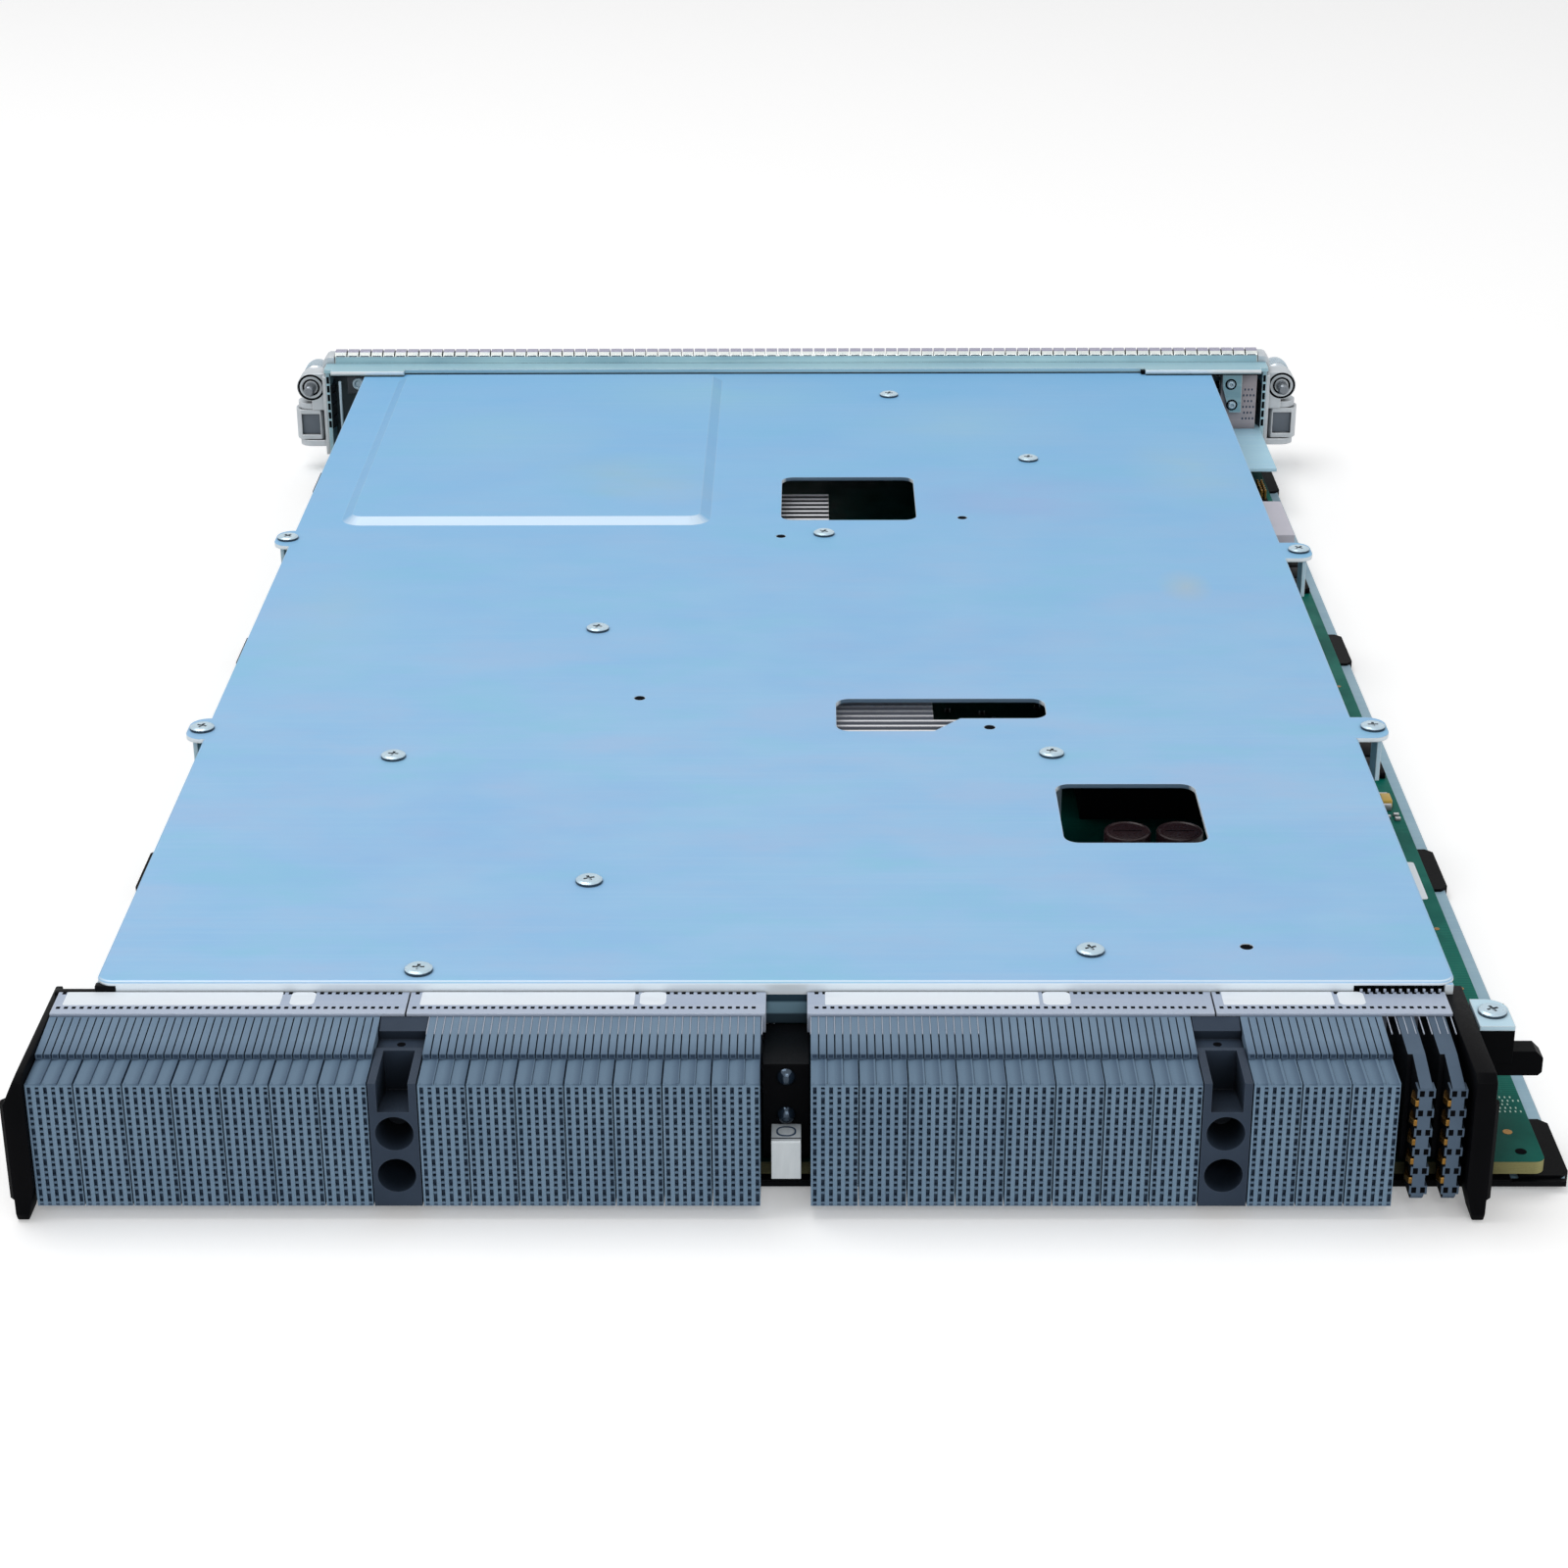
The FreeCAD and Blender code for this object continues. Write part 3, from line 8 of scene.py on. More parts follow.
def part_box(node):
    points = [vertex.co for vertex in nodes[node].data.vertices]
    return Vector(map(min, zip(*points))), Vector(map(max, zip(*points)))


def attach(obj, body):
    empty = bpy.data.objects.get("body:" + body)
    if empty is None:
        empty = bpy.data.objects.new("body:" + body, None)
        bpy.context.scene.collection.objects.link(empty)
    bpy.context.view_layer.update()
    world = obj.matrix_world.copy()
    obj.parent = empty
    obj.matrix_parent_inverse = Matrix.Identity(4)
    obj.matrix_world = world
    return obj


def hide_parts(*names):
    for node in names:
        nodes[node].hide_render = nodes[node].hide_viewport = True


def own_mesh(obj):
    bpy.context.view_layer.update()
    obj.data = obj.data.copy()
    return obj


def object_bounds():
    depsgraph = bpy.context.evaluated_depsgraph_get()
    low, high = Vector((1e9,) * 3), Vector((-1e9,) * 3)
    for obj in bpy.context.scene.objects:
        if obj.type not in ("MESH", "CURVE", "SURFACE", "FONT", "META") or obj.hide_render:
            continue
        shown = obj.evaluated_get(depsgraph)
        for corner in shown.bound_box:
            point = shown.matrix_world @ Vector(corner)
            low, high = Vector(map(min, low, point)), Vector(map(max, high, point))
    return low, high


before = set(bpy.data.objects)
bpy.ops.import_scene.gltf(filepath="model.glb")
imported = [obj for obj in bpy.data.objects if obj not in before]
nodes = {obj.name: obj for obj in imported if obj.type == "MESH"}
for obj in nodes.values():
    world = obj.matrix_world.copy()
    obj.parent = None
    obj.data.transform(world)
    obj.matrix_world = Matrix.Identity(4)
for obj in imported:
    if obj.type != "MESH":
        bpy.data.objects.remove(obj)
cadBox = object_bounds()
scene = bpy.context.scene
mm = 0.001
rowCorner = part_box("connector_housing_1")[0]  # left end of the row, on its mating face
rowLeft, endTrim = -171.3, 2.2  # x of that end, and what the faceplate's left end lacks
boardTop, coverTop = 9.1, 41.5
fineBump = 0.03 * mm
frontward, backward = (math.pi / 2, 0, 0), (-math.pi / 2, 0, 0)  # leans towards the row and towards the panel
sides = ((-1, "left"), (1, "right"))
print("frame:", len(nodes), "nodes")


def at(x, y, z):  # millimetres, y counted from the mating face
    return Vector((rowCorner.x + (x - rowLeft) * mm, rowCorner.y + y * mm, z * mm))


def deep(y):
    return at(0, y, 0).y


def endX(side, x):  # the faceplate's left end is trimmed
    return x if side > 0 else endTrim - x


def size(x, y, z):
    return Vector((x * mm, y * mm, z * mm))


def scaled(sizes, share=1.0):  # millimetre settings to a tree's inputs
    return {title: value * mm * share for title, value in sizes.items()}


def tint(code):  # screen colour in hex digits to the shader's own
    parts = [int(code[n:n + 2], 16) / 255 for n in (0, 2, 4)]
    return tuple(c / 12.92 if c < 0.04 else ((c + 0.055) / 1.055) ** 2.4 for c in parts) + (1.0,)


class Wire:  # a socket that takes part in sums
    def __init__(self, graph, socket):
        self.graph, self.socket = graph, socket

    def sum(self, operation, first, second):
        return self.graph.node("ShaderNodeMath", {0: first, 1: second}, operation=operation)

    def __add__(self, other):
        return self.sum("ADD", self, other)

    def __radd__(self, other):
        return self.sum("ADD", other, self)

    def __sub__(self, other):
        return self.sum("SUBTRACT", self, other)

    def __rsub__(self, other):
        return self.sum("SUBTRACT", other, self)

    def __mul__(self, other):
        return self.sum("MULTIPLY", self, other)

    def __rmul__(self, other):
        return self.sum("MULTIPLY", other, self)

    def __truediv__(self, other):
        return self.sum("DIVIDE", self, other)

    def __rtruediv__(self, other):
        return self.sum("DIVIDE", other, self)

    def __gt__(self, other):
        return self.sum("GREATER_THAN", self, other)

    def __lt__(self, other):
        return self.sum("LESS_THAN", self, other)


def pick(sockets, key):
    if isinstance(key, int):
        return sockets[key]
    named = [s for s in sockets if s.identifier == key] or [s for s in sockets if s.name == key]
    return named[0]


class Graph:
    def __init__(self, tree):
        self.tree = tree

    def node(self, kind, values=(), out=0, **settings):
        made = self.tree.nodes.new(kind)
        for name, value in settings.items():
            setattr(made, name, value)
        for key, value in dict(values).items():
            socket = pick(made.inputs, key)
            for one in value if isinstance(value, list) else [value]:
                if isinstance(one, Wire):
                    self.tree.links.new(one.socket, socket)
                else:
                    socket.default_value = one
        return Wire(self, pick(made.outputs, out)) if len(made.outputs) else None

    def vec(self, x, y, z):
        return self.node("ShaderNodeCombineXYZ", {"X": x, "Y": y, "Z": z})

    def upward(self, z):
        return self.vec(0.0, 0.0, z)

    def vector(self, operation, first, second=(0, 0, 0), out="Vector"):
        return self.node("ShaderNodeVectorMath", {0: first, 1: second}, out, operation=operation)

    def part(self, vector, axis):
        return self.node("ShaderNodeSeparateXYZ", {"Vector": vector}, axis)

    def normal(self):
        return self.node("ShaderNodeNewGeometry", out="True Normal")

    def facing(self, axis):  # how far a face looks along an axis
        return self.part(self.normal(), axis)

    def mix(self, share, first, second):
        return self.node("ShaderNodeMix", {"Factor_Float": share, "A_Color": first, "B_Color": second},
                         "Result_Color", data_type="RGBA")

    def span(self, value, low, high, bottom=0.0, top=1.0):  # clamped change of range
        return self.node("ShaderNodeMapRange", {"Value": value, "From Min": low, "From Max": high,
                                                "To Min": bottom, "To Max": top})

    def noise(self, spot, scale, stretch=(1, 1, 1), detail=3.0, rough=0.55):
        spread = self.node("ShaderNodeMapping", {"Vector": spot, "Scale": stretch})
        return self.node("ShaderNodeTexNoise", {"Vector": spread, "Scale": scale, "Detail": detail,
                                                "Roughness": rough})

    def blot(self, spot, place, radius):  # soft patch, 1 at its middle
        scaled = self.vector("DIVIDE", self.vector("SUBTRACT", spot, place), radius)
        return self.span(self.vector("LENGTH", scaled, out="Value"), 1.0, 0.0)

    def bump(self, height, distance, strength, soft=None):
        values = {"Height": height, "Distance": distance, "Strength": strength}
        if soft:
            values["Normal"] = soft
        return self.node("ShaderNodeBump", values)

    def edges(self, radius):  # rounded normal, and a mask along the edges
        soft = self.node("ShaderNodeBevel", {"Radius": radius}, samples=4)
        return soft, self.span(self.vector("DOT_PRODUCT", soft, self.normal(), "Value"), 0.995, 0.8)

    def open(self, reach):  # 1 on open faces, less inside narrow gaps
        return self.node("ShaderNodeAmbientOcclusion", {"Distance": reach}, "AO", samples=8)

    def zones(self, spot, colour, zones):  # other colours by place along an axis, in metres
        for axis, low, high, other in zones:
            colour = self.mix(self.span(self.part(spot, axis), low, high), colour, other)
        return colour


def freshGraph(owner):  # emptied node tree of a material or world
    owner.use_nodes = True
    owner.node_tree.nodes.clear()
    return Graph(owner.node_tree)


def newFinish(name, paint, tones, extra):
    look = {key: tint(value) if isinstance(value, str) else value for key, value in extra.items()}
    look.update(zip(("colour", "cloud", "rim", "streak"), map(tint, tones.split())))
    material = bpy.data.materials.new(name)
    graph = freshGraph(material)
    spot = graph.node("ShaderNodeTexCoord", out="Object")
    values = paint(graph, spot, look)
    if "gap" in look:  # painted shade in narrow gaps and under things, by share and reach
        share, reach = look["gap"]
        gapShade = graph.span(graph.open(reach * mm), 0.15, 0.8, share, 0.0)
        values["Base Color"] = graph.mix(gapShade, values["Base Color"], look.get("shade", tint("040507")))
    values["Specular IOR Level"] = look.get("gloss", 0.5)
    shader = graph.node("ShaderNodeBsdfPrincipled", values)
    graph.node("ShaderNodeOutputMaterial", {"Surface": shader})
    material.diffuse_color = look["colour"]
    return material


def sheetPaint(graph, spot, look):  # zinc-plated steel, faintly brushed and stained
    soft, edge = graph.edges(look.get("ease", 0.5 * mm))
    cloud = graph.noise(spot, 26, (1, 1.5, 1), 4)
    brush = graph.noise(spot, 70, (0.12, 7, 7), 4)
    colour = graph.mix(graph.span(cloud, 0.32, 0.7), look["colour"], look["cloud"])
    colour = graph.mix(graph.span(brush, 0.45, 0.8, 0, 0.6), colour, look["streak"])
    if "drift" in look:  # slow change of hue over the zinc, and painted shade darkening the colour towards the back
        slow = graph.noise(spot, 17, (1, 2.4, 1), 5, 0.6)
        colour = graph.mix(graph.span(slow, 0.5, 0.66, 0, 0.5), colour, look["drift"][0])
        colour = graph.mix(graph.span(slow, 0.48, 0.34, 0, 0.5), colour, look["drift"][1])
        backShade = graph.span(graph.part(spot, "Y"), deep(160), deep(530), 0, 0.75)
        colour = graph.mix(backShade, colour, look["far"])
    for place, radius, share, stain in look.get("stains", ()):
        patch = graph.blot(spot, at(*place), size(*radius)) * graph.span(cloud, 0.25, 0.6) * share
        colour = graph.mix(patch, colour, tint(stain))
    # edges painted lighter: worn edges and a painted highlight
    colour = graph.mix(edge * look.get("wear", 0.55), colour, look["rim"])
    if "cut" in look:  # painted light and shade: front-facing slopes get a painted highlight, left-facing slopes painted shade, the folded front painted bands of light and shade, upright faces near the top a bright colour for sheared edges and painted highlight
        up, front = graph.facing("Z"), graph.facing("Y") * -1
        slope = graph.span(up, 0.97, 0.9) * graph.span(up, 0.6, 0.75)
        colour = graph.mix(slope * graph.span(front, 0.1, 0.4, 0, 0.6), colour, look["cut"])
        colour = graph.mix(slope * graph.span(graph.facing("X"), -0.1, -0.3, 0, 0.2), colour, look["dull"])
        colour = graph.mix(graph.span(front, 0.6, 0.8), colour, graph.zones(spot, colour, look["bands"]))
        high = graph.part(spot, "Z") > look["cutFloor"]
        colour = graph.mix(graph.span(up * up, 0.3, 0.05, 0, 0.9) * high, colour, look["cut"])
        sideways = graph.part(spot, "X")  # painted shade on the windows' far walls, short of the ears
        inside = (graph.part(spot, "Y") > deep(60)) * high * graph.span(sideways * sideways, 0.0235, 0.0215)
        colour = graph.mix(graph.span(front, 0.5, 0.8) * inside, colour, look["windowWall"])
    if "inner" in look:  # conductive coat inside the panel
        wall = graph.part(spot, "Y") > deep(548)
        colour = graph.mix(graph.span(graph.facing("Y"), -0.4, -0.7) * wall, colour, look["inner"])
    return {"Base Color": colour, "Metallic": look.get("metal", 0.3),
            "Roughness": graph.span(brush + cloud * 0.6, 0.4, 1.1, look["rough"] - 0.08, look["rough"] + 0.1),
            "Normal": graph.bump(brush, fineBump, 0.3, soft)}


def mouldPaint(graph, spot, look):  # moulded plastic with a fine grain
    soft, edge = graph.edges(look.get("ease", 0.3 * mm))
    grain = graph.noise(spot, look.get("grain", 1800), detail=2)
    cloud = graph.noise(spot, 60)
    colour = graph.mix(graph.span(cloud, 0.3, 0.7), look["colour"], look["cloud"])
    # edges painted lighter: worn edges and a painted highlight
    colour = graph.mix(edge * look.get("wear", 0.3), colour, look["rim"])
    colour = graph.zones(spot, colour, look.get("zones", ()))
    if "facet" in look:  # slanted lips fall into shade towards the right of each pair of columns
        start, width, lipZ, shaded = look["facet"]
        along = graph.node("ShaderNodeMath", {0: (graph.part(spot, "X") - start) / width}, operation="FRACT")
        lip = graph.part(spot, "Z") > lipZ
        colour = graph.mix(graph.span(along, 0.5, 0.95, 0, 0.8) * lip, colour, shaded)
    if "flank" in look:  # painted shade on the left sides of upright blades, and on their fronts further in
        inner = graph.span(graph.part(spot, "Y"), deep(2), deep(3))
        inner = inner * graph.span(graph.facing("Y"), -0.6, -0.9)
        left = graph.span(graph.facing("X"), -0.5, -0.8)
        colour = graph.mix(inner, graph.mix(left, colour, look["flank"]), look["flank"])
    rough = look["rough"]
    return {"Base Color": colour, "Roughness": graph.span(grain, 0.2, 0.8, rough - 0.08, rough + 0.08),
            "Normal": graph.bump(grain, fineBump, look.get("tooth", 0.35), soft)}


def metalPaint(graph, spot, look):  # bare or plated metal, lightly smeared
    soft, edge = graph.edges(look.get("ease", 0.3 * mm))
    smear = graph.noise(spot, look.get("scale", 140), look.get("stretch", (1, 1, 1)), 4)
    colour = graph.mix(graph.span(smear, 0.3, 0.75), look["colour"], look["cloud"])
    if "wall" in look:  # upright faces painted with the shade of the gaps beside them
        colour = graph.mix(graph.span(graph.facing("Z"), 0.6, 0.3), colour, look["wall"])
    # edges painted lighter: worn edges and a painted highlight
    colour = graph.mix(edge * look.get("wear", 0.4), colour, look["rim"])
    colour = graph.zones(spot, colour, look.get("zones", ()))
    return {"Base Color": colour, "Metallic": look.get("metal", 0.8),
            "Roughness": graph.span(smear, 0.25, 0.8, look["rough"] - 0.07, look["rough"] + 0.12),
            "Normal": graph.bump(smear, fineBump, 0.2, soft)}


def boardPaint(graph, spot, look):  # solder mask over tracks, bare glass fibre at the cut edges
    up = graph.facing("Z")
    lanes = graph.node("ShaderNodeTexBrick", {
        "Vector": spot, "Scale": 230.0, "Color1": (0, 0, 0, 1), "Color2": (0.4, 0.4, 0.4, 1),
        "Mortar": (1, 1, 1, 1), "Mortar Size": 0.045, "Brick Width": 0.9, "Row Height": 0.21},
        "Fac", offset=0.37, squash=1.7)
    track = lanes * graph.span(graph.noise(spot, 55, detail=1), 0.48, 0.54)
    cloud = graph.noise(spot, 90)
    mask = graph.mix(graph.span(cloud, 0.3, 0.7), look["colour"], look["cloud"])
    mask = graph.mix(track * 0.55, mask, look["track"])
    weave = graph.noise(spot, 900, (0.2, 0.2, 5), 2)
    edge = graph.mix(weave, look["edge"], look["edgeCloud"])
    soft, _ = graph.edges(0.3 * mm)
    return {"Base Color": graph.mix(graph.span(up * up, 0.3, 0.6), edge, mask),
            "Roughness": graph.span(cloud, 0.2, 0.8, 0.36, 0.5),
            "Normal": graph.bump(track, 0.04 * mm, 0.4, soft)}


def castPaint(graph, spot, look):  # sand-rough casting, polished where it is handled
    soft, edge = graph.edges(0.6 * mm)
    pits = graph.noise(spot, 1300)
    colour = graph.mix(graph.span(graph.noise(spot, 120), 0.3, 0.7), look["colour"], look["cloud"])
    # edges painted lighter: polished wear and a painted highlight
    return {"Base Color": graph.mix(edge * 0.6, colour, look["rim"]), "Metallic": 0.45,
            "Roughness": graph.span(pits - edge * 0.4, 0.1, 0.8, 0.3, 0.5),
            "Normal": graph.bump(pits, 0.06 * mm, 0.4, soft)}


def lensPaint(graph, spot, look):  # milky light pipe
    cloud = graph.noise(spot, 700, detail=2)
    return {"Base Color": graph.mix(cloud, look["colour"], look["cloud"]), "Roughness": 0.22,
            "Coat Weight": 0.5, "Normal": graph.bump(cloud, fineBump, 0.3)}


def paperPaint(graph, spot, look):  # satin label stock, a little rubbed
    fibre = graph.noise(spot, 900, (1, 2, 1), 4)
    rub = graph.noise(spot, 160, (0.4, 2, 1))
    return {"Base Color": graph.mix(graph.span(rub, 0.55, 0.8, 0, 0.6), look["colour"], look["cloud"]),
            "Roughness": graph.span(fibre, 0.3, 0.7, 0.38, 0.52),
            "Normal": graph.bump(fibre, 0.02 * mm, 0.25)}


coverStains = (  # place, reach, share, colour
    ((-57, 410, 43.5), (34, 26, 90), 0.3, "AAC0BE"),
    ((-46, 392, 43.5), (26, 14, 90), 0.3, "B8C0B8"),
    ((-104, 452, 43.5), (46, 40, 90), 0.35, "9CCCD6"),
    ((78, 388, 41.5), (46, 30, 90), 0.5, "A0AEDA"),
    ((124, 304, 41.5), (9, 16, 90), 0.5, "B8BEBC"),
    ((140, 420, 41.5), (26, 46, 90), 0.4, "A6CACE"),
    ((-30, 505, 41.5), (60, 40, 90), 0.35, "A2CCD6"),
    ((60, 470, 41.5), (50, 40, 90), 0.3, "A8CCD6"),
    ((-140, 270, 41.5), (24, 60, 90), 0.35, "A0C8D4"),
    ((20, 262, 41.5), (70, 60, 90), 0.3, "84B2E0"),
    ((-90, 120, 41.5), (80, 60, 90), 0.35, "84B2E2"),
    ((120, 90, 41.5), (60, 50, 90), 0.3, "86B4E2"),
)
looks = {  # paint, colours of base, cloud, rim and streak, other settings, nodes painted
    "coverSheet": (sheetPaint, "96C2E5 8FBDE4 DEECF4 9EC7E7", {"gloss": 0.15, "rough": 0.46,
        "stains": coverStains, "wear": 0.7, "metal": 0.12, "drift": (tint("A3BEE1"), tint("86C4DE")),
        "far": "75B4E1", "bands": (("Z", 38.9 * mm, 38.5 * mm, tint("2C4250")),
                                   ("Z", 36.3 * mm, 35.8 * mm, tint("7898A8")),
                                   ("Z", 33.2 * mm, 32.7 * mm, tint("32424C"))),
        "cut": "EEF6FB", "dull": "709CC2", "windowWall": "5C748A", "cutFloor": 38.0 * mm, "gap": (0.75, 1.6)},
        "top_cover"),
    "platedSheet": (sheetPaint, "9EC4D8 94BCD4 DEEAF0 B0CEDC", {"gloss": 0.2, "rough": 0.42,
        "gap": (0.5, 1.2), "metal": 0.15}, "drive_bracket"),
    "panelSheet": (sheetPaint, "A4CAD6 98C0D0 E8F2F4 B8D4DC", {"gloss": 0.2, "rough": 0.4,
        "inner": "46545A", "metal": 0.15, "wear": 0.8}, "faceplate"),
    "coatedSheet": (sheetPaint, "ACA4A9 989398 CEC6C8 BAB0B4", {"gloss": 0.15, "rough": 0.5, "metal": 0.1,
        "gap": (0.8, 6.0)}, ""),
    "tealSheet": (sheetPaint, "8CB0BA 7096A4 E8F2F2 B0D0D6", {"gloss": 0.2, "rough": 0.36, "metal": 0.15,
        "wear": 0.8, "gap": (0.8, 1.5)}, ""),
    "stampedSteel": (sheetPaint, "ACB7C9 A4B1C5 D8DEE7 B8C0CF", {"gloss": 0.3, "rough": 0.42, "metal": 0.25,
        "gap": (0.6, 1.0)}, "stiffeners"),
    "bracketSheet": (sheetPaint, "C0DEEC B4D4E6 F0F7FA CCE4EE", {"gloss": 0.2, "rough": 0.42, "metal": 0.08,
        "wear": 0.8}, "side_brackets corner_tab"),
    "gussetSheet": (sheetPaint, "BAE2F4 ACD8EE E2EEF4 C6E6F4", {"gloss": 0.25, "rough": 0.42, "metal": 0.1},
        "corner_gusset"),
    "traySheet": (sheetPaint, "94B4C5 88AABE D6E4EC A4C0CE", {"gloss": 0.2, "rough": 0.42,
        "gap": (0.7, 3.0), "metal": 0.15}, "base_tray"),
    "slatePlastic": (mouldPaint, "71899E 688096 8AA1B5", {"rough": 0.55, "wear": 0.45, "gloss": 0.15,
        "gap": (0.85, 2.0), "shade": "08203E", "zones": (("Z", 35.0 * mm, 35.2 * mm, tint("62798E")),),
        "facet": (rowCorner.x, 3.7 * mm, 35.1 * mm, tint("42566C"))},
        "connector_housing_1 connector_housing_2 connector_housing_3 connector_housing_4"),
    "landPlastic": (mouldPaint, "62798E 566C82 6C8397", {"rough": 0.6, "wear": 0.2, "gloss": 0.1,
        "gap": (0.7, 1.0), "shade": "08203E"}, ""),
    "bladePlastic": (mouldPaint, "526375 48586A 6A7C8E", {"rough": 0.55, "wear": 0.3, "gloss": 0.12,
        "gap": (0.97, 6.0), "shade": "05080E", "flank": "0A0C10"}, "power_blades"),
    "waferPlastic": (mouldPaint, "72889D 687E94 8EA4B8", {"rough": 0.55, "wear": 0.5, "gloss": 0.12,
        "gap": (0.85, 0.6), "shade": "0A1628", "zones": (("Y", deep(17.5), deep(11.8), tint("5A6E83")),)},
        "wafer_stacks"),
    "slateDark": (mouldPaint, "3A4C62 324358 42546A", {"rough": 0.6, "wear": 0.1, "gloss": 0.2}, ""),
    # flat dark pieces set in holes and gaps, as painted shade
    "holeShade": (mouldPaint, "050609 08090D 0A0B0F", {"rough": 0.8, "wear": 0.1, "gloss": 0.03}, ""),
    "charcoalPlastic": (mouldPaint, "344050 2C3746 5C6878", {"rough": 0.5, "wear": 0.45, "gloss": 0.12,
        "gap": (0.96, 9.0)}, "guide_socket_1 guide_socket_2"),
    "inlayGrey": (mouldPaint, "707983 646D77 969EA6", {"rough": 0.45, "wear": 0.4, "gloss": 0.25}, ""),
    "blackPlastic": (mouldPaint, "07080A 0B0B0D 222328", {"rough": 0.4, "wear": 0.35, "gloss": 0.025,
        "gap": (0.6, 6.0)},
        "edge_pads bay_block end_plate_left end_plate_right corner_block board_chips "
        "network_jacks power_converters"),
    "blackFilm": (mouldPaint, "0A0B0D 0E0F11 1A1B1D", {"rough": 0.4, "grain": 500, "gloss": 0.05},
        "insulator_film"),
    "boardMask": (boardPaint, "00685B 005B51", {"track": "1A7F6D", "gloss": 0.05, "edge": "B0AC78",
        "edgeCloud": "989462", "gap": (0.95, 48.0)}, "circuit_board memory_modules"),
    "zincScrew": (metalPaint, "B2C8D5 A0B8C8 E8F0F5", {"rough": 0.3, "metal": 0.5, "scale": 260,
        "gap": (0.95, 1.2)},
        "board_standoffs cover_standoffs lever_pins screw_retainer_left screw_retainer_right "
        "fixing_screws screw_spring_left screw_spring_right"),
    "captiveSteel": (metalPaint, "CCD4DA B6C2CC EEF3F6", {"rough": 0.28, "metal": 0.75, "scale": 260,
        "zones": (("Y", deep(546), deep(545), tint("80868D")),)}, "captive_screw_left captive_screw_right"),
    "blackScrew": (metalPaint, "46525F 303A44 6E7C8C", {"rough": 0.13, "metal": 0.9, "wear": 0.2}, ""),
    "coverScrew": (metalPaint, "BED4E0 ACC5D4 F0F6F9", {"rough": 0.28, "metal": 0.5, "scale": 260,
        "gap": (0.97, 1.3), "wall": "3A4C5A"}, ""),
    "edgeHighlight": (metalPaint, "EEF5F8 E0EAF0 FAFCFD", {"rough": 0.35, "metal": 0.2}, ""),
    "canSheet": (metalPaint, "C4C2CE BEBDC9 E0E0E8", {"rough": 0.4, "metal": 0.2, "scale": 60},
        "shield_can"),
    "brightNickel": (metalPaint, "BEBCC6 B2B0BC E2E2E8", {"rough": 0.3, "metal": 0.6, "stretch": (1, 4, 4)},
        "optical_cages service_port alarm_connector"),
    "paleNickel": (metalPaint, "CDD3D6 C2C9CD E8EBED", {"rough": 0.4, "metal": 0.2, "stretch": (5, 1, 1),
        "wear": 0.2}, "ground_block"),
    "goldContact": (metalPaint, "966E32 684A22 CEA862", {"rough": 0.24, "metal": 0.9, "gap": (0.9, 4.0)},
        "coax_jacks power_contacts"),
    "springSteel": (metalPaint, "EAEDE8 C4CECE FAFBF8", {"rough": 0.24, "metal": 0.4, "scale": 320,
        "ease": 0.0002, "gap": (0.98, 2.2), "zones": (("Z", 46.85 * mm, 47.0 * mm, tint("9694AC")),)},
        "top_gasket bottom_gasket"),
    "darkSpring": (metalPaint, "42484E 32383E 6E767C", {"rough": 0.4, "metal": 0.5, "gap": (0.9, 2.0)},
        "side_gaskets"),
    "castAlloy": (castPaint, "CED4D9 BAC2C8 F6F8FA", {"gap": (0.92, 3.2), "gloss": 0.35},
        "ejector_bracket_left ejector_bracket_right ejector_lever_left ejector_lever_right"),
    "bareAluminium": (metalPaint, "CECED6 C0C0CA ECECF0", {"rough": 0.34, "metal": 0.7,
        "stretch": (0.2, 5, 5)}, "storage_drive capacitors"),
    "finAluminium": (metalPaint, "EEEFF3 E2E3E9 F6F6F8", {"rough": 0.4, "metal": 0.2, "gap": (0.9, 2.6),
        "wall": "32343A", "wear": 0.6}, "fabric_heat_sink processor_heat_sink"),
    "stackAluminium": (metalPaint, "F6F7FA EEEFF4 FAFAFC", {"rough": 0.4, "metal": 0.1, "wall": "7E838F",
        "wear": 0.6}, ""),
    "displayGlass": (mouldPaint, "1A0E10 201214 3C282A", {"rough": 0.16, "tooth": 0.05}, "display_window"),
    "lightLens": (lensPaint, "D6DECE BECCB8", {}, "status_lights"),
    "buttonPlastic": (mouldPaint, "3C3E42 44464A 6E7074", {"rough": 0.4}, "alarm_button lamp_button"),
    "labelPaper": (paperPaint, "E4EBF2 D6DEE7", {}, ""),
    "silkInk": (paperPaint, "B0CEC0 82B29E", {}, ""),
    "amberCase": (mouldPaint, "CEAA42 BE9C3C E2C878", {"rough": 0.42}, ""),
    "sleeveFilm": (mouldPaint, "1E1215 26171A 503638", {"rough": 0.3, "wear": 0.5, "gloss": 0.25,
        "gap": (0.8, 12.0)}, ""),
    "whiteInsulator": (mouldPaint, "E2E2DC D6D6D0 F0F0EC", {"rough": 0.4}, ""),
    "tinEnd": (metalPaint, "C8CACC B4B7BB E6E8EA", {"rough": 0.34, "metal": 0.6, "gap": (0.8, 20.0)}, ""),
}
finish = {}
for name, (paint, tones, extra, painted) in looks.items():
    finish[name] = newFinish(name, paint, tones, extra)
    for title in painted.split():
        nodes[title].data.materials.clear()
        nodes[title].data.materials.append(finish[name])
print("finishes:", len(finish), "on", sum(len(row[3].split()) for row in looks.values()), "nodes")


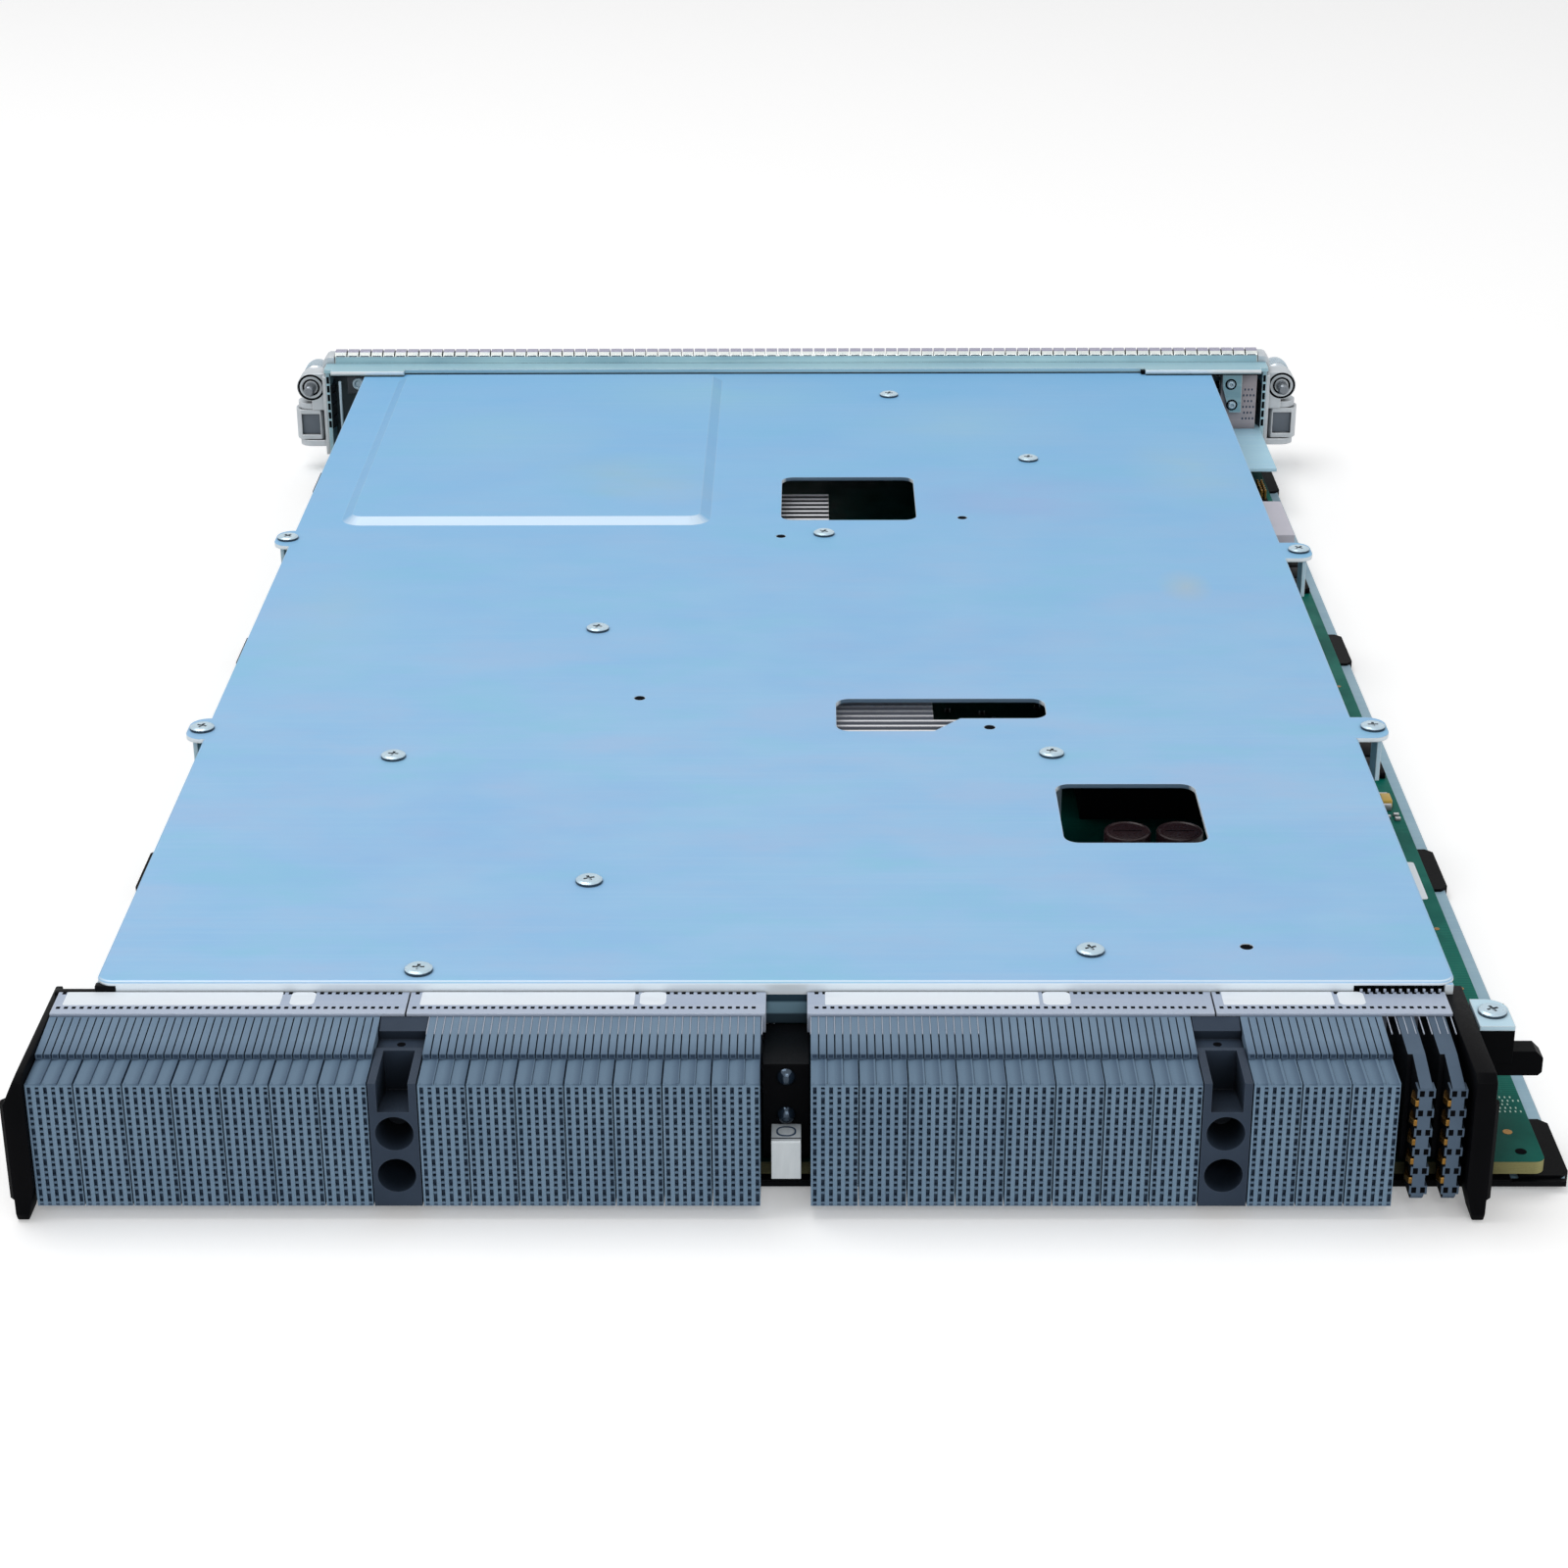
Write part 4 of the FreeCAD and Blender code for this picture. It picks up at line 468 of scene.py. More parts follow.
def newTree(name, numbers=(), counts=(), vectors=()):
    tree = bpy.data.node_groups.new(name, "GeometryNodeTree")
    kinds = [("Geometry", "Geometry"), ("Material", "Material")] + [(n, "Float") for n in numbers]
    for title, kind in kinds + [(n, "Int") for n in counts] + [(n, "Vector") for n in vectors]:
        tree.interface.new_socket(title, in_out="INPUT", socket_type="NodeSocket" + kind)
    tree.interface.new_socket("Geometry", in_out="OUTPUT", socket_type="NodeSocketGeometry")
    graph = Graph(tree)
    entry = tree.nodes.new("NodeGroupInput")
    return tree, graph, {s.name: Wire(graph, s) for s in entry.outputs if s.name}


def realized(graph, shape):
    return graph.node("GeometryNodeRealizeInstances", {"Geometry": shape})


def closeTree(graph, port, shape):
    values = {"Geometry": realized(graph, shape), "Material": port["Material"]}
    graph.node("NodeGroupOutput", {"Geometry": graph.node("GeometryNodeSetMaterial", values)})


def moved(graph, shape, **how):
    return graph.node("GeometryNodeTransform", {"Geometry": shape, **how})


def cube(graph, extent, place=None):
    block = graph.node("GeometryNodeMeshCube", {"Size": extent}, "Mesh")
    return block if place is None else moved(graph, block, Translation=place)


def rod(graph, sides, radius, depth, middle):
    values = {"Vertices": sides, "Radius": radius, "Depth": depth}
    made = graph.node("GeometryNodeMeshCylinder", values, "Mesh")
    return moved(graph, made, Translation=graph.upward(middle))


def stamp(graph, points, shape, turn=(0, 0, 0)):
    return graph.node("GeometryNodeInstanceOnPoints", {"Points": points, "Instance": shape, "Rotation": turn})


def line(graph, count, start, step):
    return graph.node("GeometryNodeMeshLine", {"Count": count, "Start Location": start, "Offset": step},
                      mode="OFFSET", count_mode="TOTAL")


def meet(graph, *shapes):
    return graph.node("GeometryNodeJoinGeometry", {"Geometry": list(shapes)})


def grow(tree, material, runs):  # evaluates a tree on each set of points and joins the results
    whole = bmesh.new()
    sockets = [i for i in tree.interface.items_tree if i.item_type == "SOCKET" and i.in_out == "INPUT"]
    keys = {socket.name: socket.identifier for socket in sockets}
    for points, faces, sizes in runs:
        base = bpy.data.meshes.new("base")
        base.from_pydata([tuple(p) for p in points], [], faces)
        holder = bpy.data.objects.new("holder", base)
        scene.collection.objects.link(holder)
        modifier = holder.modifiers.new("grow", "NODES")
        modifier.node_group = tree
        for title, value in {"Material": finish[material], **sizes}.items():
            modifier[keys[title]] = value
        made = bpy.data.meshes.new_from_object(holder.evaluated_get(bpy.context.evaluated_depsgraph_get()))
        whole.from_mesh(made)
        holder.modifiers.remove(modifier)
        bpy.data.objects.remove(holder)
        bpy.data.meshes.remove(made)
        bpy.data.meshes.remove(base)
    return whole


def keep(name, shape, material, slotName=None, body="card", stands=(), smooth=30):
    mesh = bpy.data.meshes.new(name)
    shape.to_mesh(mesh)
    shape.free()
    mesh.materials.clear()
    mesh.materials.append(finish[material])
    mesh.polygons.foreach_set("material_index", [0] * len(mesh.polygons))
    mesh.polygons.foreach_set("use_smooth", [True] * len(mesh.polygons))
    mesh.set_sharp_from_angle(angle=math.radians(smooth))
    made = bpy.data.objects.new(name, mesh)
    scene.collection.objects.link(made)
    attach(made, body)
    if stands:
        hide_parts(*stands)
    print("piece:", name, len(mesh.polygons), "faces")
    return made


def growPiece(name, tree, material, slotName, runs, **how):
    return keep(name, grow(tree, material, runs), material, slotName, **how)


def piece(name, material, slotName, *parts, **how):  # each part is a maker and what it takes, in millimetres
    shape = bmesh.new()
    for maker, *takes in parts:
        maker(shape, *takes)
    return keep(name, shape, material, slotName, **how)


def ease(shape, edges, offset):
    bmesh.ops.bevel(shape, geom=edges, offset=offset * mm, segments=2, affect="EDGES", profile=0.5)


def slab(shape, low, high, offset=0.0):  # block with rounded edges
    made = bmesh.ops.create_cube(shape, size=1.0)["verts"]
    for v in made:
        v.co = Vector(l + (c + 0.5) * (h - l) for l, h, c in zip(at(*low), at(*high), v.co))
    if offset:
        ease(shape, list({e for v in made for e in v.link_edges}), offset)


def turned(shape, profile, place, lean=(0, 0, 0), steps=24):  # (radius, height) points spun round an axis
    matrix = Matrix.Translation(at(*place)) @ Euler(lean).to_matrix().to_4x4()
    rings = []
    closed = profile[0] == profile[-1]
    for radius, height in profile[:-1] if closed else profile:
        angles = [2 * math.pi * n / steps for n in range(steps if radius else 1)]
        rings.append([shape.verts.new(matrix @ size(radius * math.cos(a), radius * math.sin(a), height))
                      for a in angles])
    for lower, upper in zip(rings, rings[1:] + rings[:1] if closed else rings[1:]):
        for n in range(steps):
            m = (n + 1) % steps
            corners = [loop[k % len(loop)] for loop, k in ((lower, n), (lower, m), (upper, m), (upper, n))]
            shape.faces.new(list(dict.fromkeys(corners)))
    bmesh.ops.recalc_face_normals(shape, faces=shape.faces)


def flat(radius, thick):  # profile of a disc
    return (0, 0), (radius, 0), (radius, thick), (0, thick)


def hoop(inner, outer, thick):  # profile of a flat ring
    return (inner, 0), (outer, 0), (outer, thick), (inner, thick), (inner, 0)


def prism(shape, near, rear):  # two like outlines in metres, and the walls between them
    near, rear = ([shape.verts.new(spot) for spot in outline] for outline in (near, rear))
    made = [shape.faces.new(near), shape.faces.new(rear[::-1])]
    for n in range(len(near)):
        m = (n + 1) % len(near)
        made.append(shape.faces.new((near[n], near[m], rear[m], rear[n])))
    bmesh.ops.recalc_face_normals(shape, faces=made)


def upright(shape, outline, front, back):  # outline in x and z, between two depths
    prism(shape, *([at(x, y, z) for x, z in outline] for y in (front, back)))


def tablet(shape, low, high, radius, floor, thick, steps=5):  # flat plate with round corners
    (x0, y0), (x1, y1) = low, high
    corners = ((x1 - radius, y1 - radius, 0), (x0 + radius, y1 - radius, 90), (x0 + radius, y0 + radius, 180),
               (x1 - radius, y0 + radius, 270))
    outline = []
    for x, y, start in corners:
        angles = [math.radians(start + 90 * n / steps) for n in range(steps + 1)]
        outline += [(x + radius * math.cos(a), y + radius * math.sin(a)) for a in angles]
    prism(shape, *([at(x, y, z) for x, y in outline] for z in (floor, floor + thick)))


# trees: rows of blocks, contact lands, screws, rings of ridges, coils and scattered parts
rowTree, graph, port = newTree("blockRow", counts=("Count",), vectors=("Step", "Block", "Lean"))
marks = line(graph, port["Count"], (0, 0, 0), port["Step"])
blocks = stamp(graph, marks, cube(graph, port["Block"]), port["Lean"])
closeTree(graph, port, stamp(graph, port["Geometry"], blocks))

landTree, graph, port = newTree("contactLands", (
    "Column Pitch", "Group Pitch", "Land Width", "Land Depth", "Tall Hole", "Small Hole", "Thin Land"),
    ("Groups", "Columns"))
thin, tall, small, drop = (port[key] for key in ("Thin Land", "Tall Hole", "Small Hole", "Group Pitch"))
thick = drop - tall - 2 * small - 2 * thin


def land(height, middle):
    return cube(graph, graph.vec(port["Land Width"], port["Land Depth"], height), graph.upward(middle))


def groupLine(count, start):
    return line(graph, count, start, graph.upward(drop * -1))


trio = meet(graph, land(thick, thick * 0.5), land(thin, -1 * tall - thin * 0.5),
            land(thin, -1 * tall - small - thin * 1.5))
evenSet = stamp(graph, groupLine(port["Groups"], (0, 0, 0)), trio)
oddSet = stamp(graph, groupLine(port["Groups"] - 1, graph.upward(drop * -0.5)), trio)
oddSet = meet(graph, oddSet, land(thin, drop * -0.5 + thick + small + thin * 0.5))
across = graph.vec(port["Column Pitch"] * 2, 0.0, 0.0)
evenLine = line(graph, port["Columns"] / 2, (0, 0, 0), across)
oddLine = line(graph, port["Columns"] / 2, graph.vec(port["Column Pitch"], 0.0, 0.0), across)
lands = meet(graph, stamp(graph, evenLine, evenSet), stamp(graph, oddLine, oddSet))
closeTree(graph, port, stamp(graph, port["Geometry"], lands))

screwTree, graph, port = newTree("crossScrew", (
    "Head Radius", "Rim Height", "Crown Height", "Crown Share", "Recess Width", "Recess Length",
    "Recess Depth", "Shank Radius", "Shank Length"), ("Seed",), ("Lean",))
head, low, wide, long = (port[key] for key in ("Head Radius", "Rim Height", "Recess Width", "Recess Length"))
rim = rod(graph, 28, head, low, low * 0.5)
crown = graph.node("GeometryNodeMeshCone", {
    "Vertices": 28, "Radius Bottom": head, "Radius Top": head * port["Crown Share"],
    "Depth": port["Crown Height"]}, "Mesh")
crown = moved(graph, crown, Translation=graph.upward(low))
cuts = [cube(graph, graph.vec(a, b, port["Recess Depth"] * 2), graph.upward(low + port["Crown Height"]))
        for a, b in ((wide, long), (long, wide))]
crown = graph.node("GeometryNodeMeshBoolean", {"Mesh 1": crown, "Mesh 2": cuts}, "Mesh",
                   operation="DIFFERENCE", solver="EXACT")
shank = rod(graph, 16, port["Shank Radius"], port["Shank Length"], port["Shank Length"] * -0.5)
spin = graph.node("FunctionNodeRandomValue", {"Min_001": 0.0, "Max_001": 1.57, "Seed": port["Seed"]},
                  "Value_001", data_type="FLOAT")
screwSet = stamp(graph, port["Geometry"], meet(graph, rim, crown, shank), port["Lean"])
closeTree(graph, port, graph.node("GeometryNodeRotateInstances", {
    "Instances": screwSet, "Rotation": graph.upward(spin), "Local Space": True}))

ringTree, graph, port = newTree("ridgeRing", ("Radius",), ("Count",), ("Block",))
circle = graph.node("GeometryNodeMeshCircle", {"Vertices": port["Count"], "Radius": port["Radius"]})
angle = graph.node("GeometryNodeInputIndex") * (2 * math.pi) / port["Count"]
ridges = stamp(graph, circle, cube(graph, port["Block"]), graph.upward(angle + math.pi / 4))
ridges = moved(graph, realized(graph, ridges), Rotation=frontward)
closeTree(graph, port, stamp(graph, port["Geometry"], ridges))

coilTree, graph, port = newTree("coilSpring", ("Radius", "Length", "Wire", "Turns"))
path = graph.node("GeometryNodeCurveSpiral", {
    "Resolution": 22, "Rotations": port["Turns"], "Start Radius": port["Radius"],
    "End Radius": port["Radius"], "Height": port["Length"]})
wire = graph.node("GeometryNodeCurvePrimitiveCircle", {"Resolution": 8, "Radius": port["Wire"]}, "Curve")
coil = graph.node("GeometryNodeCurveToMesh", {"Curve": path, "Profile Curve": wire, "Fill Caps": True})
closeTree(graph, port, stamp(graph, port["Geometry"], moved(graph, coil, Rotation=backward)))

scatterTree, graph, port = newTree("boardParts", ("Spacing", "Apart"), ("Seed", "Ends"), ("Block",))
spots = graph.node("GeometryNodeDistributePointsOnFaces", {
    "Mesh": port["Geometry"], "Distance Min": port["Spacing"], "Density Max": 60000.0, "Density Factor": 0.55,
    "Seed": port["Seed"]}, distribute_method="POISSON")
quarter = graph.node("FunctionNodeRandomValue", {"Min_002": 0, "Max_002": 1, "Seed": port["Seed"]},
                     "Value_002", data_type="INT")
ends = line(graph, port["Ends"], graph.vec(port["Apart"] * -0.5, 0.0, 0.0),
            graph.vec(port["Apart"], 0.0, 0.0))
part = stamp(graph, ends, cube(graph, port["Block"]))
closeTree(graph, port, stamp(graph, spots, part, graph.upward(quarter * (math.pi / 2))))
print("trees:", len(bpy.data.node_groups))


def rows(material, runs, lean=(0, 0, 0)):  # runs of (start, step, count, block)
    return grow(rowTree, material, [([at(*start)], [], {
        "Count": count, "Step": size(*step), "Block": size(*block), "Lean": lean})
        for start, step, count, block in runs])


def rowPiece(name, material, slotName, block, starts, step=(0, 0, 1), count=1, lean=(0, 0, 0)):
    runs = [(start[:3], step, (*start, count)[3], block) for start in starts]  # a start may add its count
    keep(name, rows(material, runs, lean), material, slotName)


def slabPiece(name, material, slotName, blocks, **how):
    piece(name, material, slotName, *[(slab, *block) for block in blocks], **how)


def spunPiece(name, material, slotName, profile, places, lean=(0, 0, 0), steps=24, **how):
    piece(name, material, slotName, *[(turned, profile, place, lean, steps) for place in places], **how)


# connector row
rowSizes = {"runs": ((-171.3, 7), (-82.3, 7), (6.7, 8), (106.8, 3)), "pitch": 1.85, "columns": 6}
pitch, columns = rowSizes["pitch"], rowSizes["columns"]
alongRow, moduleLength = (pitch, 0, 0), pitch * columns
moduleStarts = [start + n * moduleLength for start, count in rowSizes["runs"] for n in range(count)]
columnRuns = [(start + pitch / 2, count * columns) for start, count in rowSizes["runs"]]
landSizes = {"top": 34.7, "inset": 0.05, "groups": 6, "inputs": {
    "Group Pitch": 5.37, "Land Width": 0.87, "Land Depth": 0.9, "Tall Hole": 1.8, "Small Hole": 0.8,
    "Thin Land": 0.62, "Column Pitch": pitch}}
landY = landSizes["inset"] + landSizes["inputs"]["Land Depth"] / 2
growPiece("contactLands", landTree, "landPlastic", "connector_plastic", [(
    [at(x + pitch / 2, landY, landSizes["top"]) for x in moduleStarts], [],
    {**scaled(landSizes["inputs"]), "Columns": columns, "Groups": landSizes["groups"]})])
# dark marks at the foot of each column, as painted shade in the notches there
footSizes = {"block": (0.84, 0.06, 0.55), "step": alongRow,
             "starts": [(x, 0.01, 3.95, n) for x, n in columnRuns]}
rowPiece("grooveFeet", "slateDark", "connector_plastic", **footSizes)
# dark marks in the wafers' notches, as painted shade
notchSizes = {"block": (0.95, 0.06, 0.8), "step": alongRow,
              "starts": [(x, 11.6, 36.3, n) for x, n in columnRuns]}
rowPiece("waferNotches", "slateDark", "connector_plastic", **notchSizes)
# painted shade in the stiffener's slots
slotRuns = ((-169.9, 44), (-86.2, 44), (8.1, 50), (102.8, 29))
slotSizes = {"block": (0.95, 1.05, 0.06), "step": alongRow,
             "starts": [(x, y, 38.81, n) for x, n in slotRuns for y in (30.4, 37.6)]}
rowPiece("stiffenerSlots", "holeShade", "black_plastic", **slotSizes)
tongueSizes = {"block": (0.22, 7.4, 0.3), "step": alongRow, "lean": (0.077, 0, 0),
               "starts": [(x, 23.7, 37.66, n) for x, n in ((-82.3, 43), (6.7, 22), (141.0, 9))]}
rowPiece("stiffenerTongues", "stampedSteel", "stiffener_steel", **tongueSizes)
combSizes = {"block": (0.6, 0.4, 0.9), "step": alongRow, "starts": [(136.6, 37.95, 39.2, 11)]}
rowPiece("stiffenerComb", "stampedSteel", "stiffener_steel", **combSizes)
stickerSizes = {"floor": 38.8, "thick": 0.08, "front": 31.6, "back": 38.1, "spans": (  # radius, ends in x
    (0.4, ((-169.2, -118.0), (-85.1, -34.7), (10.1, 60.4), (103.5, 129.5))),
    (1.4, ((-115.9, -110.1), (-33.5, -27.3), (61.3, 67.8), (130.7, 136.9))))}
floor, thick, front, back, spans = stickerSizes.values()
piece("bareStickers", "labelPaper", None, *[
    (tablet, (x0, front), (x1, back), radius, floor, thick) for radius, pairs in spans for x0, x1 in pairs])
# painted shade in the blades' square holes
bladeSizes = {"block": (1.1, 0.06, 1.5), "step": (0, 0, 5.05), "count": 6,
              "starts": [(x + inset, 0.6, 7.4) for x in (144.3, 151.6) for inset in (0.57, 2.6)]}
rowPiece("bladeHoles", "holeShade", "black_plastic", **bladeSizes)

plateSizes = {"thick": 4.8, "top": 38.0, "shoulder": 31.0, "crest": {"left": 1.6, "right": 4.8}, "ease": 0.3,
              "outline": ((-0.5, 0), (6.5, 0), (10.0, 4.0), (10.0, boardTop), (43.0, boardTop), (43.0, 38.0),
                          (0.8, 38.0), (-1.5, 36.6), (-1.5, 2.0)),
              "relief": 2.0, "reliefTop": 9.0, "ribHeights": (6.0, 31.0),
              "rib": ((-0.1, -1.5), (0, -1.5), (1.0, -0.5), (1.0, 0.8), (0, 1.8), (-0.1, 1.8))}
shoulder, reliefTop = plateSizes["shoulder"], plateSizes["reliefTop"]
for outward, word in sides:
    low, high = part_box("end_plate_" + word)
    inner = high.x if outward < 0 else low.x
    outer = inner + outward * plateSizes["thick"] * mm
    shape = bmesh.new()
    prism(shape, *([(x, deep(y), z * mm) for y, z in plateSizes["outline"]] for x in (inner, outer)))
    for level in (shoulder, reliefTop):
        bmesh.ops.bisect_plane(shape, geom=shape.verts[:] + shape.edges[:] + shape.faces[:], dist=1e-7,
                               plane_co=(0, 0, level * mm), plane_no=(0, 0, 1))
    for v in shape.verts:  # the outer side leans in above the shoulder, the inner side is relieved below
        rise = max(0, v.co.z / mm - shoulder) / (plateSizes["top"] - shoulder)
        drop = max(0, reliefTop - v.co.z / mm) / reliefTop
        if abs(v.co.x - outer) < 1e-6:
            v.co.x -= outward * rise * (plateSizes["thick"] - plateSizes["crest"][word]) * mm
        else:
            v.co.x += outward * drop * plateSizes["relief"] * mm
    bmesh.ops.recalc_face_normals(shape, faces=shape.faces)
    ease(shape, [e for e in shape.edges if e.calc_face_angle(0) > 0.3], plateSizes["ease"])
    prism(shape, *([(outer + outward * x * mm, deep(y), z * mm) for x, y in plateSizes["rib"]]
                   for z in plateSizes["ribHeights"]))
    keep("endPlate" + word.capitalize(), shape, "blackPlastic", "black_plastic",
         stands=("end_plate_" + word,))

# screws: cover, ears and corner tab, then the two dark ones in the centre bay
screwSizes = {"Head Radius": 3.4, "Rim Height": 0.7, "Crown Height": 0.4, "Recess Width": 0.75,
              "Recess Length": 2.9, "Recess Depth": 0.6, "Shank Radius": 1.5}
screwRuns = (  # shank length, seed, top, places
    (4.9, 3, coverTop, ((83.0, 430.5), (11.2, 353.0), (-57.7, 267.4), (-108.0, 171.0), (73.0, 172.5),
                        (-49.1, 92.4), (74.0, 53.9), (-86.6, 44.0), (36.0, 506.5))),
    (2.3, 5, coverTop, ((164.2, 336.5), (164.2, 190.8), (-164.2, 349.5), (-164.2, 190.8))),
    (4.9, 8, 37.5, ((166.1, 30.3),)))


def screwInputs(length, seed, lean=(0, 0, 0), share=1.0, crownShare=0.8):
    return {**scaled(screwSizes, share), "Crown Share": crownShare, "Shank Length": length * mm, "Seed": seed,
            "Lean": lean}


growPiece("coverScrewHeads", screwTree, "coverScrew", "fastener_steel", [
    ([at(x, y, top) for x, y in places], [], screwInputs(length, seed))
    for length, seed, top, places in screwRuns], stands=("fixing_screws",))
bayScrewSizes = {"places": ((1.05, 12.0, 20.6), (1.05, 12.0, 30.6)), "lean": frontward, "steps": 32,
                 "profile": ((0, 1.56), (0.45, 1.53), (0.9, 1.42), (1.3, 1.23), (1.65, 0.96), (1.95, 0.62),
                             (2.2, 0.2), (2.3, 0), (1.5, 0), (1.5, -4.0), (0, -4.0))}
spunPiece("bayScrewHeads", "blackScrew", "fastener_steel", **bayScrewSizes, stands=("fixing_screws",))

# centre bay: a painted shade line on the ledge, oval and button on the ground block
ledgeSizes = {"line": ((-2.3, 5.3, 18.15), (4.4, 5.7, 18.23)),
              "oval": ((-1.25, 6.3), (3.35, 10.8), 1.9, 18.2, 0.06, 8),
              "button": ((-0.85, 6.9), (2.95, 10.2), 1.5, 18.2, 0.1, 8)}
piece("groundLine", "holeShade", "black_plastic", (slab, *ledgeSizes["line"]))
piece("groundOval", "slateDark", "black_plastic", (tablet, *ledgeSizes["oval"]))
piece("groundButton", "paleNickel", "bright_nickel", (tablet, *ledgeSizes["button"]))

# painted shade: dark strips along edges and under the cover's corners, in the cover's small holes and in the
# dimples of the guides' panels
edgeShadeBlocks = (((-180.8, 11.9, 1.42), (182.8, 12.0, 2.74)), ((170.0, 12.0, 2.7), (182.8, 13.4, 2.76)),
              ((-172.6, 38.4, 30.0), (-162.9, 40.4, 38.7), 0.3),
              ((-162.9, 38.4, 30.0), (-157.9, 40.4, 40.3), 0.2),
              ((135.2, 41.2, 30.0), (158.4, 42.2, 40.3), 0.2))
slabPiece("edgeShades", "blackFilm", "black_film", edgeShadeBlocks)
peepSpots = ((-2.9, 351.0), (57.2, 369.0), (-42.3, 213.0), (57.0, 191.4), (111.8, 56.3))
peepSizes = {"profile": flat(1.58, 0.2), "places": [(x, y, 41.1) for x, y in peepSpots]}
spunPiece("peepShades", "holeShade", "black_film", **peepSizes)
dimpleSizes = {"profile": flat(1.0, 0.04), "places": ((-88.25, 20.2, 34.6), (100.85, 20.2, 34.6))}
spunPiece("guideDimples", "holeShade", "black_plastic", **dimpleSizes)

# board: parts, marks, pads, packages, pins, bare label and a moulded capacitor
partSizes = {"areas": ((-171, 60, -152, 330), (-171, 365, -152, 480), (120, 60, 150, 150),
                       (150, 230, 166, 300), (-120, 240, -60, 330), (48, 245, 100, 345), (-40, 60, 60, 160),
                       (-110, 110, -50, 230), (60, 360, 105, 440)),
             "chip": (1.0, 1.3, 0.8), "end": (0.36, 1.34, 0.84), "apart": 1.5, "spacing": 5.5, "seed": 11}
partZ = boardTop + partSizes["chip"][2] / 2
for name, material, slotName, ends, block, apart in (
        ("boardPartBodies", "sleeveFilm", "black_plastic", 1, partSizes["chip"], 0.0),
        ("boardPartEnds", "tinEnd", "bright_nickel", 2, partSizes["end"], partSizes["apart"])):
    inputs = {**scaled({"Spacing": partSizes["spacing"], "Apart": apart}), "Seed": partSizes["seed"],
              "Ends": ends, "Block": size(*block)}
    growPiece(name, scatterTree, material, slotName, [
        ([at(x0, y0, partZ), at(x1, y0, partZ), at(x1, y1, partZ), at(x0, y1, partZ)], [(0, 1, 2, 3)], inputs)
        for x0, y0, x1, y1 in partSizes["areas"]])
markSizes = {"left": 171.0, "front": 33.4, "shift": 0.4, "apart": 1.7, "lines": 5, "dashes": 5,
             "step": (1.25, 0, 0), "dash": (0.34, 0.8, 0.03)}
left, front, shift, apart, lines, dashes, step, dash = markSizes.values()
rowPiece("silkMarks", "silkInk", None, dash, [
    (left + n % 2 * shift, front + n * apart, boardTop + dash[2] / 2, dashes - n % 3)
    for n in range(lines)], step)
padSizes = {"large": (flat(1.15, 0.04), (170.9, 23.9, boardTop)), "small": flat(0.8, 0.04),
            "places": [(173.6, y, boardTop) for y in (60, 96, 130, 250, 300, 390)]}
piece("copperPads", "goldContact", "gold_contact", (turned, *padSizes["large"]),
      *[(turned, padSizes["small"], place) for place in padSizes["places"]])
# painted shade in the hole through the board
holeSizes = {"profile": flat(1.35, 0.05), "places": ((172.2, 14.9, boardTop),)}
spunPiece("boardHole", "holeShade", "black_plastic", **holeSizes)
packageSizes = {"top": 11.0, "ease": 0.3, "places": (
    (170.6, 383.0, 6.0, 10.2), (170.6, 394.4, 6.0, 9.8), (171.4, 405.4, 5.2, 10.0), (170.6, 228.2, 5.8, 12.0),
    (171.2, 241.4, 5.2, 13.2), (171.3, 474.5, 3.4, 13.8))}
slabPiece("edgePackages", "blackPlastic", "black_plastic", [
    ((x, y, boardTop), (x + wide, y + long, packageSizes["top"]), packageSizes["ease"])
    for x, y, wide, long in packageSizes["places"]])
pinSizes = {"block": (0.7, 0.7, 5.6), "step": (0, 2.3, 0), "count": 6,
            "starts": ((172.2, 476.0, 11.9), (173.6, 476.0, 11.9))}
rowPiece("headerPins", "goldContact", "gold_contact", **pinSizes)
labelSizes = {"low": (165.8, 147.8), "high": (174.6, 171.0), "radius": 0.8, "floor": boardTop, "thick": 0.1}
piece("bareBoardLabel", "labelPaper", None, (tablet, *labelSizes.values()))
caseSizes = {"case": ((171.8, 207.2, boardTop), (174.8, 212.6, 11.7), 0.35), "feet": (
    ((171.9, 205.6, boardTop), (174.3, 206.2, 11.2), 0.1),
    ((171.9, 213.4, boardTop), (174.3, 214.0, 11.2), 0.1),
    ((174.2, 201.4, boardTop), (175.8, 202.3, 10.1), 0.1),
    ((174.2, 198.6, boardTop), (175.8, 199.5, 10.1), 0.1),
    ((171.6, 200.0, boardTop), (173.2, 200.9, 10.1), 0.1))}
slabPiece("mouldedCapacitor", "amberCase", "black_plastic", [caseSizes["case"]])
slabPiece("capacitorFeet", "tinEnd", "bright_nickel", caseSizes["feet"])

# capacitors with a rolled groove and a scored top
canSpots = ((91.5, 143.0), (105.5, 143.0), (91.5, 129.0), (105.5, 129.0))
canSizes = {"places": [(x, y, boardTop) for x, y in canSpots], "steps": 32, "profile": (
    (0, 0), (6.3, 0), (6.3, 2.2), (5.7, 2.8), (5.7, 3.2), (6.3, 3.8), (6.3, 22.4), (6.1, 22.85), (5.6, 23.0),
    (5.2, 22.7), (0, 22.7))}
spunPiece("sleevedCapacitors", "sleeveFilm", "bare_aluminium", **canSizes, stands=("capacitors",))
lidSizes = {"profile": flat(4.9, 0.12), "places": [(x, y, boardTop + 22.7) for x, y in canSpots]}
spunPiece("capacitorTops", "sleeveFilm", "bare_aluminium", **lidSizes)
# painted shade in the scored lines of the tops
scoreSizes = {"block": (7.6, 0.35, 0.1), "starts": [(x, y, boardTop + 22.85) for x, y in canSpots]}
rowPiece("capacitorScores", "holeShade", "black_plastic", **scoreSizes)

